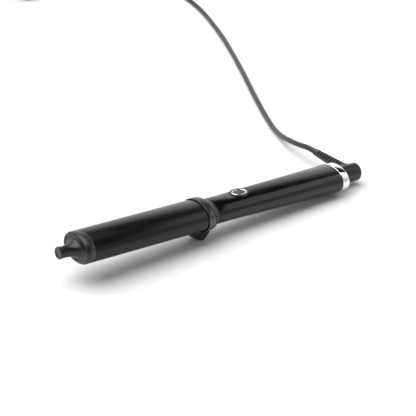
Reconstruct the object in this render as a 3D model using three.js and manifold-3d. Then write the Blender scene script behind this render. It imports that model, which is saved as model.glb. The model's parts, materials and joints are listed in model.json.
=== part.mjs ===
// Curling wand: an oval hot barrel with a cool tip, an oval handle with a power button,
// and a mains cord on a swivel. Millimetres, +Z up.
// The origin is the centre of the stand's foot on the surface; +X runs from the tip to the cord end.

import * as THREE from "three";
import { mergeVertices } from "three/addons/utils/BufferGeometryUtils.js";
import Module from "manifold-3d";

const wasm = await Module();
wasm.setup();

// ---------------------------------------------------------------- driving dimensions

const GAP = 0.3; // clearance between pieces that seat on each other
const CUT_MARGIN = 1; // how far a cutting shape reaches past what it cuts
const OVAL_SIDES = 36;
const ROUND_SIDES = 20;
const CURVE_STEPS = 5; // steps of a rounded edge

// barrel
const BARREL_WIDTH = 38;
const BARREL_HEIGHT = 26;
const BARREL_LENGTH = 118.4;
const BARREL_WALL = 1.2;

// cool tip
const BAND_LENGTH = 5.2;
const BAND_WALL = 1.5;
const RIM_ROUND = 2.6;
const RIM_FACE = 1.1; // flat ring of the rim between its round edge and the nose
const RIM_LEDGE = 3; // how far the rim reaches in behind the nose
const NOSE_LENGTH = 13.8;
const NOSE_NECK_RADIUS = 5;
const NOSE_NECK_SHARE = 0.08; // share of the nose's length that is straight neck
const NOSE_FLARE_STEPS = 9;
const NOSE_BASE_EDGE = 0.9;
const TIP_CAP_RADIUS = 5.3;
const TIP_CAP_THICKNESS = 2.8;
const TIP_CAP_EDGE = 0.7;
const TIP_SCREW_RADIUS = 1.5;
const TIP_SCREW_HEAD_RADIUS = 2.6;
const TIP_SCREW_HEAD_HEIGHT = 2;
const BRIDGE_LENGTH = 9;

// heater inside the barrel
const HEATER_LENGTH = 80;
const HEATER_WIDTH = 16;
const HEATER_THICKNESS = 2;
const HEATER_FROM_BRIDGE = 2;
const SPREADER_WALL = 1.4;
const SPRING_LENGTH_SHARE = 0.6; // of the heater's length
const SPRING_WIDTH = 6;
const SPRING_STRIP = 0.4;
const SPRING_STEPS = 8;
const SENSOR_FROM_HEATER = 1;
const SENSOR_RADIUS = 1.1;
const SENSOR_LENGTH = 6;
const SENSOR_ASIDE = 4; // from the axis, along Y
const FUSE_RADIUS = 1.9;
const FUSE_LENGTH = 9;
const FUSE_ASIDE = 3;

// collar, neck flange and the carrier that holds the hot end
const COLLAR_LENGTH = 6.5;
const COLLAR_PROUD = 1;
const COLLAR_LIP = 2.4; // length of barrel that the collar covers
const COLLAR_CHAMFER = 0.5;
const FLANGE_LENGTH = 7.6;
const FLANGE_EDGE = 1.2; // straight front edge of the flange
const CARRIER_PLUG_LENGTH = 12;
const CARRIER_NECK_WIDTH = 22;
const CARRIER_NECK_HEIGHT = 14.6;
const CARRIER_WALL = 2.4;
const CARRIER_STOP = 1; // how far the stop rim stands out behind the handle's front wall
const CARRIER_STOP_LENGTH = 3;
const CARRIER_TAIL_LENGTH = 6;

// safety stand
const STAND_FOOT_FROM_COLLAR = 4.2; // behind the collar's front face
const STAND_DROP = 22.6; // from the wand's axis to the foot
const STAND_FOOT_WIDTH = 12;
const STAND_TOP_WIDTH = 22;
const STAND_FOOT_LENGTH = 2.6;
const STAND_FRONT_REACH = 17.5;
const STAND_REAR_REACH = 3.4;

// handle
const HANDLE_LENGTH = 141;
const HANDLE_NECK_LENGTH = 11;
const HANDLE_NECK_WIDTH = 31.2;
const HANDLE_NECK_HEIGHT = 21.6;
const HANDLE_REAR_WIDTH = 36.4;
const HANDLE_REAR_HEIGHT = 24.9;
const HANDLE_WALL = 2;
const HANDLE_FRONT_WALL = 3;
const SEAM_HEIGHT = -3; // shell parting line, above the axis

// power button
const BUTTON_AT = 32.3; // from the handle's front end
const BUTTON_RING_LENGTH = 15.5;
const BUTTON_RING_WIDTH = 11;
const BUTTON_RING_BAND = 1.3;
const BUTTON_RING_HEIGHT = 1.6;
const BUTTON_PROUD = 0.5;
const BUTTON_TRAVEL = 0.8;
const BUTTON_CAP_HEIGHT = 2.2;
const BEZEL_MARGIN = 2;
const BEZEL_REACH = 0.6; // how far the bezel goes in past the handle's wall
const PLUNGER_RADIUS = 1.6;
const SWITCH_SIZE = 6.2;
const SWITCH_HEIGHT = 3.4;

// circuit board
const BOARD_LENGTH = 78;
const BOARD_WIDTH = 20;
const BOARD_THICKNESS = 1.6;
const BOARD_FRONT = 20; // from the handle's front end
const BOARD_TOP = -0.5; // above the axis
const POST_RADIUS = 2.6;
const POST_INSET = 5;
const PILOT_DEPTH = 6;
const BOARD_SCREW_RADIUS = 1.1;
const BOARD_SCREW_REACH = 5; // below the board
const BOARD_SCREW_HEAD_RADIUS = 2.1;
const BOARD_SCREW_HEAD_HEIGHT = 1.6;

// parts on the board: from the board's front end, length, width, height
const CAPACITOR = [43, 16, 9, 7.6];
const TRIAC = [30, 10, 14, 4.6];
const CONTROL_CHIP = [20, 7, 7, 1.4];
const BUZZER_AT = 65; // from the board's front end
const BUZZER_RADIUS = 4.4;
const BUZZER_HEIGHT = 5;

// rear ring, end cap and swivel
const REAR_RING_LENGTH = 7.7;
const REAR_RING_WALL = 1.2;
const END_CAP_SPIGOT = 4;
const END_CAP_RECESS = 0.6;
const KNOB_LENGTH = 25.2;
const KNOB_RADIUS = 8.6;
const KNOB_ROUND = 2.8;
const KNOB_EDGE = 0.6;
const STEM_RADIUS = 4.2;
const STEM_LENGTH = 30;
const STEM_BORE_RADIUS = 2;
const CLIP_THICKNESS = 1;
const CLIP_RADIUS = 7;
const CLIP_GROOVE = 1;
const SLIP_RING_FIRST = 1; // from the stem's front end
const SLIP_RING_WIDTH = 3;
const SLIP_RING_WALL = 1.2;
const SLIP_RING_PITCH = 7;
const BRUSH_BLOCK_WIDTH = 8;
const BRUSH_BLOCK_HEIGHT = 4;
const BRUSH_BLOCK_EDGE = 1; // block beyond the outer sides of the slip rings
const BRUSH_WIDTH = 2.4;
const BRUSH_PROUD = 1;
const BRUSH_POCKET = 2;

// strain relief
const RELIEF_FROM_KNOB_END = 7.4;
const RELIEF_RISE = THREE.MathUtils.degToRad(4); // the cord leaves a little upwards
const RELIEF_LENGTH = 40;
const RELIEF_ROOT_RADIUS = 4.9;
const RELIEF_TIP_RADIUS = 3.3;
const RELIEF_RIBS = 9;
const RELIEF_RIB_PITCH = 3.6;
const RELIEF_RIB_FIRST = 3;
const RELIEF_RIB_GROOVE = 0.9;
const RELIEF_BOSS_RADIUS = 5.6;
const RELIEF_BOSS_REACH = 10;
const RELIEF_SOCKET_RADIUS = 3.4;
const RELIEF_ROOT_CLEARANCE = 1.5; // between the relief's root and the stem's wire way
const RELIEF_SIDES = 16;

// inner leads
const LEAD_RADIUS = 0.8;
const LEAD_SIDES = 8;
const LEAD_ROOM = 0.1; // extra room beside what a lead passes
const LEAD_INSET = 3; // from the board's ends
const HEATER_LEAD_FROM_WALL = 2;
const HEATER_LEAD_STEPS = 24;
const MAINS_LEAD_ASIDE = 6.5;
const MAINS_LEAD_STEPS = 16;
const MAINS_LEAD_DROP = 5;
const MAINS_LEAD_BENDS = [0.15, 0.5]; // shares of the way from the board to its brush
const MAINS_LEAD_END = -8; // height beside the brush block

// cord, coil and plug
const CORD_RADIUS = 2.6;
const CORD_SIDES = 8;
const CORD_STEPS = 70;
const CORD_STRAIGHT = 9; // cord that runs on straight out of the relief
const CORD_FLOAT = 0.2; // clearance of the cord above the surface
const CORD_FALL = 100; // distance along Y in which the cord comes down to the surface
const CORD_CLIMB = 65; // distance along Y in which it rises to the coil's lowest row
const CORD_ROUTE = [ // along X and Y from the relief's end
  [1.5, 24.5],
  [4.5, 40.5],
  [9.4, 56.5],
  [15.8, 72.5],
  [23.6, 89.5],
  [33.4, 109.5],
  [47.2, 136.5],
  [64.8, 169.5],
  [84.6, 205.5],
  [105.2, 243.5],
  [126.2, 283.5],
  [147.2, 325.5],
  [167.2, 369.5],
  [185.2, 413.5],
  [198.2, 454.5],
  [204.8, 492.5],
  [206.6, 520],
  [206.7, 545],
];
const COIL_LENGTH = 2020; // length of cord wound in the coil
const COIL_ROWS = 3;
const COIL_LAYERS = 4;
const COIL_TURNS = 11.25; // the last quarter turn leads to the plug
const COIL_LEAD = 18.6; // cord beside the coil where it joins or leaves
const COIL_SIDES = 32;
const TAIL_REACH = 62.6; // from the coil to the plug
const TAIL_STEPS = 8;
const TIE_THICKNESS = 0.8;
const TIE_WIDTH = 12;
const TIE_TURN = 200; // degrees around the coil
const PLUG_LENGTH = 34;
const PLUG_WIDTH = 24;
const PLUG_THICKNESS = 15;
const PLUG_TAIL_LENGTH = 14;
const PLUG_TAIL_WIDTH = 8;
const PLUG_TAIL_TAPER = 1;
const PLUG_SHOULDER_SHARE = 1 / 3; // of the plug's length
const PLUG_CORNER = 4;
const BLADE_LENGTH = 16;
const BLADE_WIDTH = 6.4;
const BLADE_THICKNESS = 1.5;
const BLADE_SPACING = 12.7;

// ---------------------------------------------------------------- worked-out sizes

const barrelA = BARREL_WIDTH / 2;
const barrelB = BARREL_HEIGHT / 2;
const boreA = barrelA - BARREL_WALL;
const boreB = barrelB - BARREL_WALL;

// stations along the wand's axis, from the rim's rear face
const bandRear = GAP + BAND_LENGTH;
const barrelFront = bandRear + GAP;
const barrelRear = barrelFront + BARREL_LENGTH;
const collarFront = barrelRear - COLLAR_LIP;
const collarRear = collarFront + COLLAR_LENGTH;
const standFootAt = collarFront + STAND_FOOT_FROM_COLLAR;
const flangeFront = collarRear + GAP;
const flangeRear = flangeFront + FLANGE_LENGTH;
const handleFront = flangeRear + GAP;
const handleRear = handleFront + HANDLE_LENGTH;
const ringFront = handleRear + GAP;
const ringRear = ringFront + REAR_RING_LENGTH;
const knobFront = ringRear + GAP;
const knobRear = knobFront + KNOB_LENGTH;

// the wand lies on the stand's foot and the rear ring's lower edge
const tilt = Math.atan2(STAND_DROP - HANDLE_REAR_HEIGHT / 2, ringRear - standFootAt);

// ---------------------------------------------------------------- materials

function finish(color, roughness, metalness) {
  return new THREE.MeshStandardMaterial({ color, roughness, metalness });
}

const FINISHES = {
  blackGloss: [0x101012, 0.25, 0],
  blackSatin: [0x1b1b1d, 0.5, 0],
  greySatin: [0x4a4b4e, 0.45, 0.3],
  barrelCoat: [0x18181a, 0.3, 0.2],
  chrome: [0xd8dadd, 0.08, 1],
  aluminium: [0xb4b7ba, 0.4, 1],
  steel: [0x9fa2a6, 0.3, 1],
  brass: [0xc8a24a, 0.3, 1],
  ceramic: [0xe8e4da, 0.7, 0],
  board: [0x1f5b34, 0.5, 0],
  component: [0x2b2b2e, 0.6, 0],
  cordSheath: [0x151516, 0.55, 0],
  insulation: [0xa8302a, 0.5, 0],
};

// ---------------------------------------------------------------- shape helpers

// Lathe around the wand's axis whose rings are squashed to ovals.
// A station is [place along the axis, half width, half height]; a round one may leave out the last.
function lathe(stations, sides = OVAL_SIDES) {
  const profile = stations.map(([at, halfWidth]) => new THREE.Vector2(halfWidth, at));
  const geometry = new THREE.LatheGeometry(profile, sides);
  geometry.rotateZ(-Math.PI / 2);
  const position = geometry.attributes.position;
  for (let i = 0; i < position.count; i++) {
    const [, halfWidth, halfHeight = halfWidth] = stations[i % stations.length];
    if (halfWidth > 0) {
      position.setZ(i, (position.getZ(i) * halfHeight) / halfWidth);
    }
  }
  return geometry;
}

function roundLathe(stations) {
  return lathe(stations, ROUND_SIDES);
}

// Hollow oval sleeve: outer stations front to rear, then the bore's back to the front.
function sleeve(outer, bore, sides = OVAL_SIDES) {
  return lathe([...outer, ...bore, outer[0]], sides);
}

function rod(radius, from, to, sides = ROUND_SIDES) {
  return lathe([[from, 0], [from, radius], [to, radius], [to, 0]], sides);
}

function ovalRod(halfWidth, halfHeight, from, to) {
  return rod(1, from, to, OVAL_SIDES).scale(1, halfWidth, halfHeight);
}

function box(x0, x1, y0, y1, z0, z1) {
  const geometry = new THREE.BoxGeometry(x1 - x0, y1 - y0, z1 - z0);
  return geometry.translate((x0 + x1) / 2, (y0 + y1) / 2, (z0 + z1) / 2);
}

// Upright cylinder.
function post(radius, z0, z1, x = 0) {
  const geometry = new THREE.CylinderGeometry(radius, radius, z1 - z0, ROUND_SIDES);
  geometry.rotateX(Math.PI / 2);
  return geometry.translate(x, 0, (z0 + z1) / 2);
}

// Angles from 0 to a quarter turn.
function quarterTurn(steps) {
  return Array.from({ length: steps + 1 }, (_, i) => (i / steps) * (Math.PI / 2));
}

function solid(geometry) {
  const bare = geometry.clone();
  bare.deleteAttribute("normal");
  bare.deleteAttribute("uv");
  const merged = mergeVertices(bare, 1e-4);
  return new wasm.Manifold(
    new wasm.Mesh({
      numProp: 3,
      vertProperties: new Float32Array(merged.attributes.position.array),
      triVerts: new Uint32Array(merged.index.array),
    }),
  );
}

function shape(manifold) {
  const mesh = manifold.getMesh();
  const geometry = new THREE.BufferGeometry();
  geometry.setAttribute("position", new THREE.BufferAttribute(mesh.vertProperties, 3));
  geometry.setIndex(new THREE.BufferAttribute(mesh.triVerts, 1));
  geometry.computeVertexNormals();
  return geometry;
}

function cut(body, ...tools) {
  return shape(tools.reduce((left, tool) => left.subtract(solid(tool)), solid(body)));
}

function join(body, ...more) {
  return shape(more.reduce((sum, piece) => sum.add(solid(piece)), solid(body)));
}

function keep(body, region) {
  return shape(solid(body).intersect(solid(region)));
}

// Upright oval column, for the button and its ring.
function ovalColumn(length, width, z0, z1) {
  const geometry = new THREE.CylinderGeometry(0.5, 0.5, z1 - z0, OVAL_SIDES);
  geometry.rotateX(Math.PI / 2);
  geometry.scale(length, width, 1);
  return geometry.translate(0, 0, (z0 + z1) / 2);
}

// Tube along a curve through the points, its section a regular polygon.
function tube(points, radius, steps, sides) {
  const curve = new THREE.CatmullRomCurve3(points, false, "centripetal");
  const section = new THREE.Shape();
  for (let i = 0; i < sides; i++) {
    const angle = (i * 2 * Math.PI) / sides;
    const corner = [radius * Math.cos(angle), radius * Math.sin(angle)];
    if (i === 0) {
      section.moveTo(...corner);
    } else {
      section.lineTo(...corner);
    }
  }
  return new THREE.ExtrudeGeometry(section, { steps, extrudePath: curve, bevelEnabled: false });
}

function point(x, y, z) {
  return new THREE.Vector3(x, y, z);
}

// ---------------------------------------------------------------- assembly

const part = new THREE.Group();
part.name = "curling_wand";

// The wand lies nose up on its stand; inside this group the axis is X and the rim is at 0.
const wand = new THREE.Group();
wand.rotation.y = tilt;
wand.position.set(
  -(standFootAt * Math.cos(tilt) - STAND_DROP * Math.sin(tilt)),
  0,
  standFootAt * Math.sin(tilt) + STAND_DROP * Math.cos(tilt),
);
part.add(wand);

function add(name, geometry, [color, roughness, metalness], parent = wand) {
  const mesh = new THREE.Mesh(geometry, finish(color, roughness, metalness));
  mesh.name = name;
  parent.add(mesh);
  return mesh;
}

// ---------------------------------------------------------------- cool tip

function addCoolTip() {
  const rimInnerA = barrelA - RIM_ROUND - RIM_FACE;
  const rimInnerB = barrelB - RIM_ROUND - RIM_FACE;
  const noseFront = -RIM_ROUND - NOSE_LENGTH;
  const baseFront = -RIM_ROUND + GAP;
  const baseRear = baseFront + NOSE_BASE_EDGE;
  const noseA = rimInnerA - GAP;
  const noseB = rimInnerB - GAP;
  const ledgeA = rimInnerA - RIM_LEDGE;
  const ledgeB = rimInnerB - RIM_LEDGE;
  const ledgeFront = baseRear + GAP;
  const headSeat = noseFront + 2 * TIP_SCREW_HEAD_HEIGHT;
  const headBore = TIP_SCREW_HEAD_RADIUS + GAP;
  const shankBore = TIP_SCREW_RADIUS + GAP;
  const spigotRear = GAP + BAND_LENGTH / 2;

  // trumpet-shaped nose: a quarter ellipse from the round neck to the oval base
  const flare = quarterTurn(NOSE_FLARE_STEPS).map((swing) => {
    const along = NOSE_NECK_SHARE + (1 - NOSE_NECK_SHARE) * Math.sin(swing);
    const grown = 1 - Math.cos(swing);
    return [
      noseFront + (baseFront - noseFront) * along,
      NOSE_NECK_RADIUS + (noseA - NOSE_NECK_RADIUS) * grown,
      NOSE_NECK_RADIUS + (noseB - NOSE_NECK_RADIUS) * grown,
    ];
  });
  const noseOuter = [
    [noseFront, NOSE_NECK_RADIUS],
    ...flare,
    [baseRear, noseA, noseB],
    [baseRear, ledgeA - GAP, ledgeB - GAP],
    [spigotRear, ledgeA - GAP, ledgeB - GAP],
  ];
  const noseBore = [
    [spigotRear, shankBore],
    [headSeat, shankBore],
    [headSeat, headBore],
    [noseFront, headBore],
  ];
  add("tip_nose", sleeve(noseOuter, noseBore), FINISHES.blackSatin);

  // rounded oval rim behind the nose
  const rim = [[-RIM_ROUND, rimInnerA, rimInnerB]];
  for (const swing of quarterTurn(CURVE_STEPS)) {
    rim.push([
      -RIM_ROUND * Math.cos(swing),
      barrelA - RIM_ROUND * (1 - Math.sin(swing)),
      barrelB - RIM_ROUND * (1 - Math.sin(swing)),
    ]);
  }
  const rimBore = [
    [0, ledgeA, ledgeB],
    [ledgeFront, ledgeA, ledgeB],
    [ledgeFront, rimInnerA, rimInnerB],
  ];
  add("tip_rim", sleeve(rim, rimBore), FINISHES.blackSatin);

  // satin band between rim and barrel
  const bandOuter = [[GAP, barrelA, barrelB], [bandRear, barrelA, barrelB]];
  const bandBore = bandOuter.map(([at, a, b]) => [at, a - BAND_WALL, b - BAND_WALL]).reverse();
  add("tip_band", sleeve(bandOuter, bandBore), FINISHES.greySatin);

  // bridge in the barrel's mouth that takes the tip screw
  const bridgeFront = spigotRear + GAP;
  const bridgeRear = bridgeFront + BRIDGE_LENGTH;
  const seatA = barrelA - BAND_WALL - GAP;
  const seatB = barrelB - BAND_WALL - GAP;
  const bridgeOuter = [
    [bridgeFront, seatA, seatB],
    [bandRear, seatA, seatB],
    [bandRear, boreA - GAP, boreB - GAP],
    [bridgeRear, boreA - GAP, boreB - GAP],
  ];
  add("tip_bridge", sleeve(bridgeOuter, [[bridgeRear, shankBore], [bridgeFront, shankBore]]),
    FINISHES.component);

  const headFront = headSeat - GAP - TIP_SCREW_HEAD_HEIGHT;
  const screw = roundLathe([
    [headFront, 0],
    [headFront, TIP_SCREW_HEAD_RADIUS],
    [headSeat - GAP, TIP_SCREW_HEAD_RADIUS],
    [headSeat - GAP, TIP_SCREW_RADIUS],
    [bridgeRear, TIP_SCREW_RADIUS],
    [bridgeRear, 0],
  ]);
  add("tip_screw", screw, FINISHES.steel);

  // lipped end cap whose peg closes the screw hole
  const capRear = noseFront - GAP;
  const capFront = capRear - TIP_CAP_THICKNESS;
  const cap = roundLathe([
    [capFront, 0],
    [capFront, TIP_CAP_RADIUS - TIP_CAP_EDGE],
    [capFront + TIP_CAP_EDGE, TIP_CAP_RADIUS],
    [capRear - TIP_CAP_EDGE, TIP_CAP_RADIUS],
    [capRear, TIP_CAP_RADIUS - TIP_CAP_EDGE],
    [capRear, TIP_SCREW_HEAD_RADIUS],
    [headFront - GAP, TIP_SCREW_HEAD_RADIUS],
    [headFront - GAP, 0],
  ]);
  add("tip_cap", cap, FINISHES.blackSatin);
  return bridgeRear;
}

// ---------------------------------------------------------------- barrel and heater

function addBarrel(bridgeRear) {
  const tubeOuter = [[barrelFront, barrelA, barrelB], [barrelRear, barrelA, barrelB]];
  const tubeBore = [[barrelRear, boreA, boreB], [barrelFront, boreA, boreB]];
  add("barrel", sleeve(tubeOuter, tubeBore), FINISHES.barrelCoat);

  // two D-shaped heat spreaders pressed apart against the bore
  const heaterFront = bridgeRear + HEATER_FROM_BRIDGE;
  const heaterRear = heaterFront + HEATER_LENGTH;
  const outA = boreA - GAP;
  const outB = boreB - GAP;
  const flat = HEATER_THICKNESS / 2 + GAP;
  const inA = outA - SPREADER_WALL;
  const inB = outB - SPREADER_WALL;
  const hollowFront = heaterFront - CUT_MARGIN;
  const hollowRear = heaterRear + CUT_MARGIN;
  const core = ovalRod(outA, outB, heaterFront, heaterRear);
  const hollow = ovalRod(inA, inB, hollowFront, hollowRear);
  const above = (height) => box(hollowFront, hollowRear, -barrelA, barrelA, height, barrelB);
  const upper = keep(core, above(flat));
  const upperHollow = keep(hollow, above(flat + SPREADER_WALL));
  const spreader = cut(upper, upperHollow);
  add("heat_spreader_upper", spreader, FINISHES.aluminium);
  add("heat_spreader_lower", spreader, FINISHES.aluminium).rotation.x = Math.PI;

  const plate = box(heaterFront, heaterRear, -HEATER_WIDTH / 2, HEATER_WIDTH / 2,
    -HEATER_THICKNESS / 2, HEATER_THICKNESS / 2);
  add("heater_plate", plate, FINISHES.ceramic);

  // bowed leaf springs beside the plate
  const springLength = HEATER_LENGTH * SPRING_LENGTH_SHARE;
  const bow = new THREE.Shape();
  const bowHeight = HEATER_THICKNESS - SPRING_STRIP;
  bow.moveTo(-springLength / 2, 0);
  bow.quadraticCurveTo(0, 2 * bowHeight, springLength / 2, 0);
  bow.lineTo(springLength / 2, SPRING_STRIP);
  bow.quadraticCurveTo(0, 2 * bowHeight + SPRING_STRIP, -springLength / 2, SPRING_STRIP);
  const springAt = (heaterFront + heaterRear) / 2;
  const springOut = HEATER_WIDTH / 2 + GAP;
  for (const [name, side] of [["spreader_spring_left", -1], ["spreader_spring_right", 1]]) {
    const leaf = new THREE.ExtrudeGeometry(bow, {
      depth: SPRING_WIDTH, bevelEnabled: false, curveSegments: SPRING_STEPS,
    });
    leaf.rotateX(Math.PI / 2);
    const middle = side * (springOut + SPRING_WIDTH / 2);
    leaf.translate(springAt, middle + SPRING_WIDTH / 2, -HEATER_THICKNESS / 2);
    add(name, leaf, FINISHES.steel);
  }

  const behind = heaterRear + SENSOR_FROM_HEATER;
  const sensor = rod(SENSOR_RADIUS, behind, behind + SENSOR_LENGTH);
  add("temperature_sensor", sensor, FINISHES.component).position.y = SENSOR_ASIDE;
  const fuse = rod(FUSE_RADIUS, behind, behind + FUSE_LENGTH);
  add("thermal_fuse", fuse, FINISHES.steel).position.y = -FUSE_ASIDE;
  return heaterRear;
}

// ---------------------------------------------------------------- collar, flange, carrier

const carrierA = CARRIER_NECK_WIDTH / 2;
const carrierB = CARRIER_NECK_HEIGHT / 2;
const carrierBoreA = carrierA - CARRIER_WALL;
const carrierBoreB = carrierB - CARRIER_WALL;
const collarA = barrelA + COLLAR_PROUD;
const collarB = barrelB + COLLAR_PROUD;
const neckA = HANDLE_NECK_WIDTH / 2;
const neckB = HANDLE_NECK_HEIGHT / 2;

function addCollar() {
  const edgeA = collarA - COLLAR_CHAMFER;
  const edgeB = collarB - COLLAR_CHAMFER;
  const recessRear = barrelRear + GAP;
  const collarOuter = [
    [collarFront, edgeA, edgeB],
    [collarFront + COLLAR_CHAMFER, collarA, collarB],
    [collarRear - COLLAR_CHAMFER, collarA, collarB],
    [collarRear, edgeA, edgeB],
  ];
  const collarBore = [
    [collarRear, carrierA + GAP, carrierB + GAP],
    [recessRear, carrierA + GAP, carrierB + GAP],
    [recessRear, barrelA + GAP, barrelB + GAP],
    [collarFront, barrelA + GAP, barrelB + GAP],
  ];
  add("barrel_collar", sleeve(collarOuter, collarBore), FINISHES.greySatin);

  // flange that falls from the collar to the handle's neck in a quarter curve
  const fallFrom = flangeFront + FLANGE_EDGE;
  const flangeOuter = [[flangeFront, edgeA, edgeB]];
  for (const swing of quarterTurn(CURVE_STEPS)) {
    flangeOuter.push([
      fallFrom + (flangeRear - fallFrom) * (1 - Math.cos(swing)),
      edgeA - (edgeA - neckA) * Math.sin(swing),
      edgeB - (edgeB - neckB) * Math.sin(swing),
    ]);
  }
  const flangeBore = [
    [flangeRear, carrierA + GAP, carrierB + GAP],
    [flangeFront, carrierA + GAP, carrierB + GAP],
  ];
  add("neck_flange", sleeve(flangeOuter, flangeBore), FINISHES.blackSatin);

  // carrier: plug in the barrel, neck through collar and flange, stop rim inside the handle
  const plugFront = barrelRear - CARRIER_PLUG_LENGTH;
  const stopFront = handleFront + HANDLE_FRONT_WALL + GAP;
  const stopRear = stopFront + CARRIER_STOP_LENGTH;
  const tailRear = stopRear + CARRIER_TAIL_LENGTH;
  const carrierOuter = [
    [plugFront, boreA - GAP, boreB - GAP],
    [barrelRear, boreA - GAP, boreB - GAP],
    [barrelRear, carrierA, carrierB],
    [stopFront, carrierA, carrierB],
    [stopFront, carrierA + CARRIER_STOP, carrierB + CARRIER_STOP],
    [stopRear, carrierA + CARRIER_STOP, carrierB + CARRIER_STOP],
    [stopRear, carrierA, carrierB],
    [tailRear, carrierA, carrierB],
  ];
  const carrierBore = [
    [tailRear, carrierBoreA, carrierBoreB],
    [plugFront, carrierBoreA, carrierBoreB],
  ];
  add("core_carrier", sleeve(carrierOuter, carrierBore), FINISHES.component);
  return { plugFront, tailRear };
}

// ---------------------------------------------------------------- safety stand

function addStand() {
  // side outline; the foot lies along the surface, which the wand's axis meets at the tilt
  const footHalf = STAND_FOOT_LENGTH / 2;
  const footFall = footHalf * Math.tan(tilt);
  const top = -barrelB / 2;
  const outline = new THREE.Shape();
  outline.moveTo(standFootAt - footHalf, -STAND_DROP - footFall);
  outline.lineTo(standFootAt + footHalf, -STAND_DROP + footFall);
  outline.lineTo(standFootAt + STAND_REAR_REACH, -barrelB);
  outline.lineTo(standFootAt + STAND_REAR_REACH, top);
  outline.lineTo(standFootAt - STAND_FRONT_REACH, top);
  outline.lineTo(standFootAt - STAND_FRONT_REACH, -barrelB);
  const wedge = new THREE.ExtrudeGeometry(outline, {
    depth: STAND_TOP_WIDTH, bevelEnabled: false,
  });
  wedge.rotateX(Math.PI / 2);
  wedge.translate(0, STAND_TOP_WIDTH / 2, 0);

  // front outline: the sides draw in from the top width to the foot width
  const front = new THREE.Shape();
  front.moveTo(-STAND_FOOT_WIDTH / 2, -STAND_DROP - CUT_MARGIN);
  front.lineTo(STAND_FOOT_WIDTH / 2, -STAND_DROP - CUT_MARGIN);
  front.lineTo(STAND_TOP_WIDTH / 2, -barrelB);
  front.lineTo(STAND_TOP_WIDTH / 2, 0);
  front.lineTo(-STAND_TOP_WIDTH / 2, 0);
  front.lineTo(-STAND_TOP_WIDTH / 2, -barrelB);
  const reach = 2 * (STAND_FRONT_REACH + STAND_REAR_REACH);
  const taper = new THREE.ExtrudeGeometry(front, { depth: reach, bevelEnabled: false });
  taper.rotateX(Math.PI / 2);
  taper.rotateZ(Math.PI / 2);
  taper.translate(standFootAt - reach / 2, 0, 0);

  // room for what the stand hugs: barrel, collar and flange
  const far = standFootAt + reach;
  const stand = cut(
    keep(wedge, taper),
    ovalRod(barrelA + GAP, barrelB + GAP, barrelFront, far),
    ovalRod(collarA + GAP, collarB + GAP, collarFront - GAP, far),
  );
  add("safety_stand", stand, FINISHES.blackSatin);
}

// ---------------------------------------------------------------- handle

// half sizes of the handle's outside at a place along the axis
function handleSize(at) {
  const coneFront = handleFront + HANDLE_NECK_LENGTH;
  const along = Math.max(0, (at - coneFront) / (handleRear - coneFront));
  return [
    THREE.MathUtils.lerp(HANDLE_NECK_WIDTH, HANDLE_REAR_WIDTH, along) / 2,
    THREE.MathUtils.lerp(HANDLE_NECK_HEIGHT, HANDLE_REAR_HEIGHT, along) / 2,
  ];
}

const buttonAt = handleFront + BUTTON_AT;
const [handleSide, handleTop] = handleSize(buttonAt);
const ringTop = handleTop + BUTTON_PROUD;
const ringBottom = ringTop - BUTTON_RING_HEIGHT;
const bezelLength = BUTTON_RING_LENGTH + 2 * BEZEL_MARGIN;
const bezelWidth = BUTTON_RING_WIDTH + 2 * BEZEL_MARGIN;
const boardFront = handleFront + BOARD_FRONT;
const boardRear = boardFront + BOARD_LENGTH;
const postPlaces = [boardFront + POST_INSET, boardRear - POST_INSET];

function addHandle() {
  const places = [handleFront, handleFront + HANDLE_NECK_LENGTH, handleRear];
  const outer = places.map((at) => [at, ...handleSize(at)]);
  const body = lathe([[handleFront, 0], ...outer, [handleRear, 0]]);
  const innerFront = handleFront + HANDLE_FRONT_WALL;
  const past = handleRear + CUT_MARGIN;
  const innerPlaces = [innerFront, handleFront + HANDLE_NECK_LENGTH, handleRear];
  const inner = innerPlaces.map((at) => {
    const [a, b] = handleSize(at);
    return [at === handleRear ? past : at, a - HANDLE_WALL, b - HANDLE_WALL];
  });
  const cavity = lathe([[innerFront, 0], ...inner, [past, 0]]);
  const before = handleFront - CUT_MARGIN;
  const mouth = ovalRod(carrierA + GAP, carrierB + GAP, before, innerFront + CUT_MARGIN);
  const shell = cut(body, cavity, mouth);

  const wide = HANDLE_REAR_WIDTH;
  const slab = (z0, z1) => box(before, past, -wide, wide, z0, z1);
  const buttonHole = ovalColumn(bezelLength + 2 * GAP, bezelWidth + 2 * GAP, 0, 2 * handleTop);
  buttonHole.translate(buttonAt, 0, 0);
  const upper = cut(keep(shell, slab(SEAM_HEIGHT + GAP / 2, wide)), buttonHole);
  add("handle_upper_shell", upper, FINISHES.blackGloss);

  // lower shell with two posts that carry the board
  const postTop = BOARD_TOP - BOARD_THICKNESS - GAP;
  const posts = postPlaces.map((at) => {
    const floor = -handleSize(at)[1] + HANDLE_WALL / 2;
    return post(POST_RADIUS, floor, postTop, at);
  });
  const pilots = postPlaces.map((at) =>
    post(BOARD_SCREW_RADIUS + GAP, postTop - PILOT_DEPTH, postTop + CUT_MARGIN, at));
  const lower = join(keep(shell, slab(-wide, SEAM_HEIGHT - GAP / 2)), ...posts);
  add("handle_lower_shell", cut(lower, ...pilots), FINISHES.blackGloss);
}

// ---------------------------------------------------------------- power button

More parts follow.
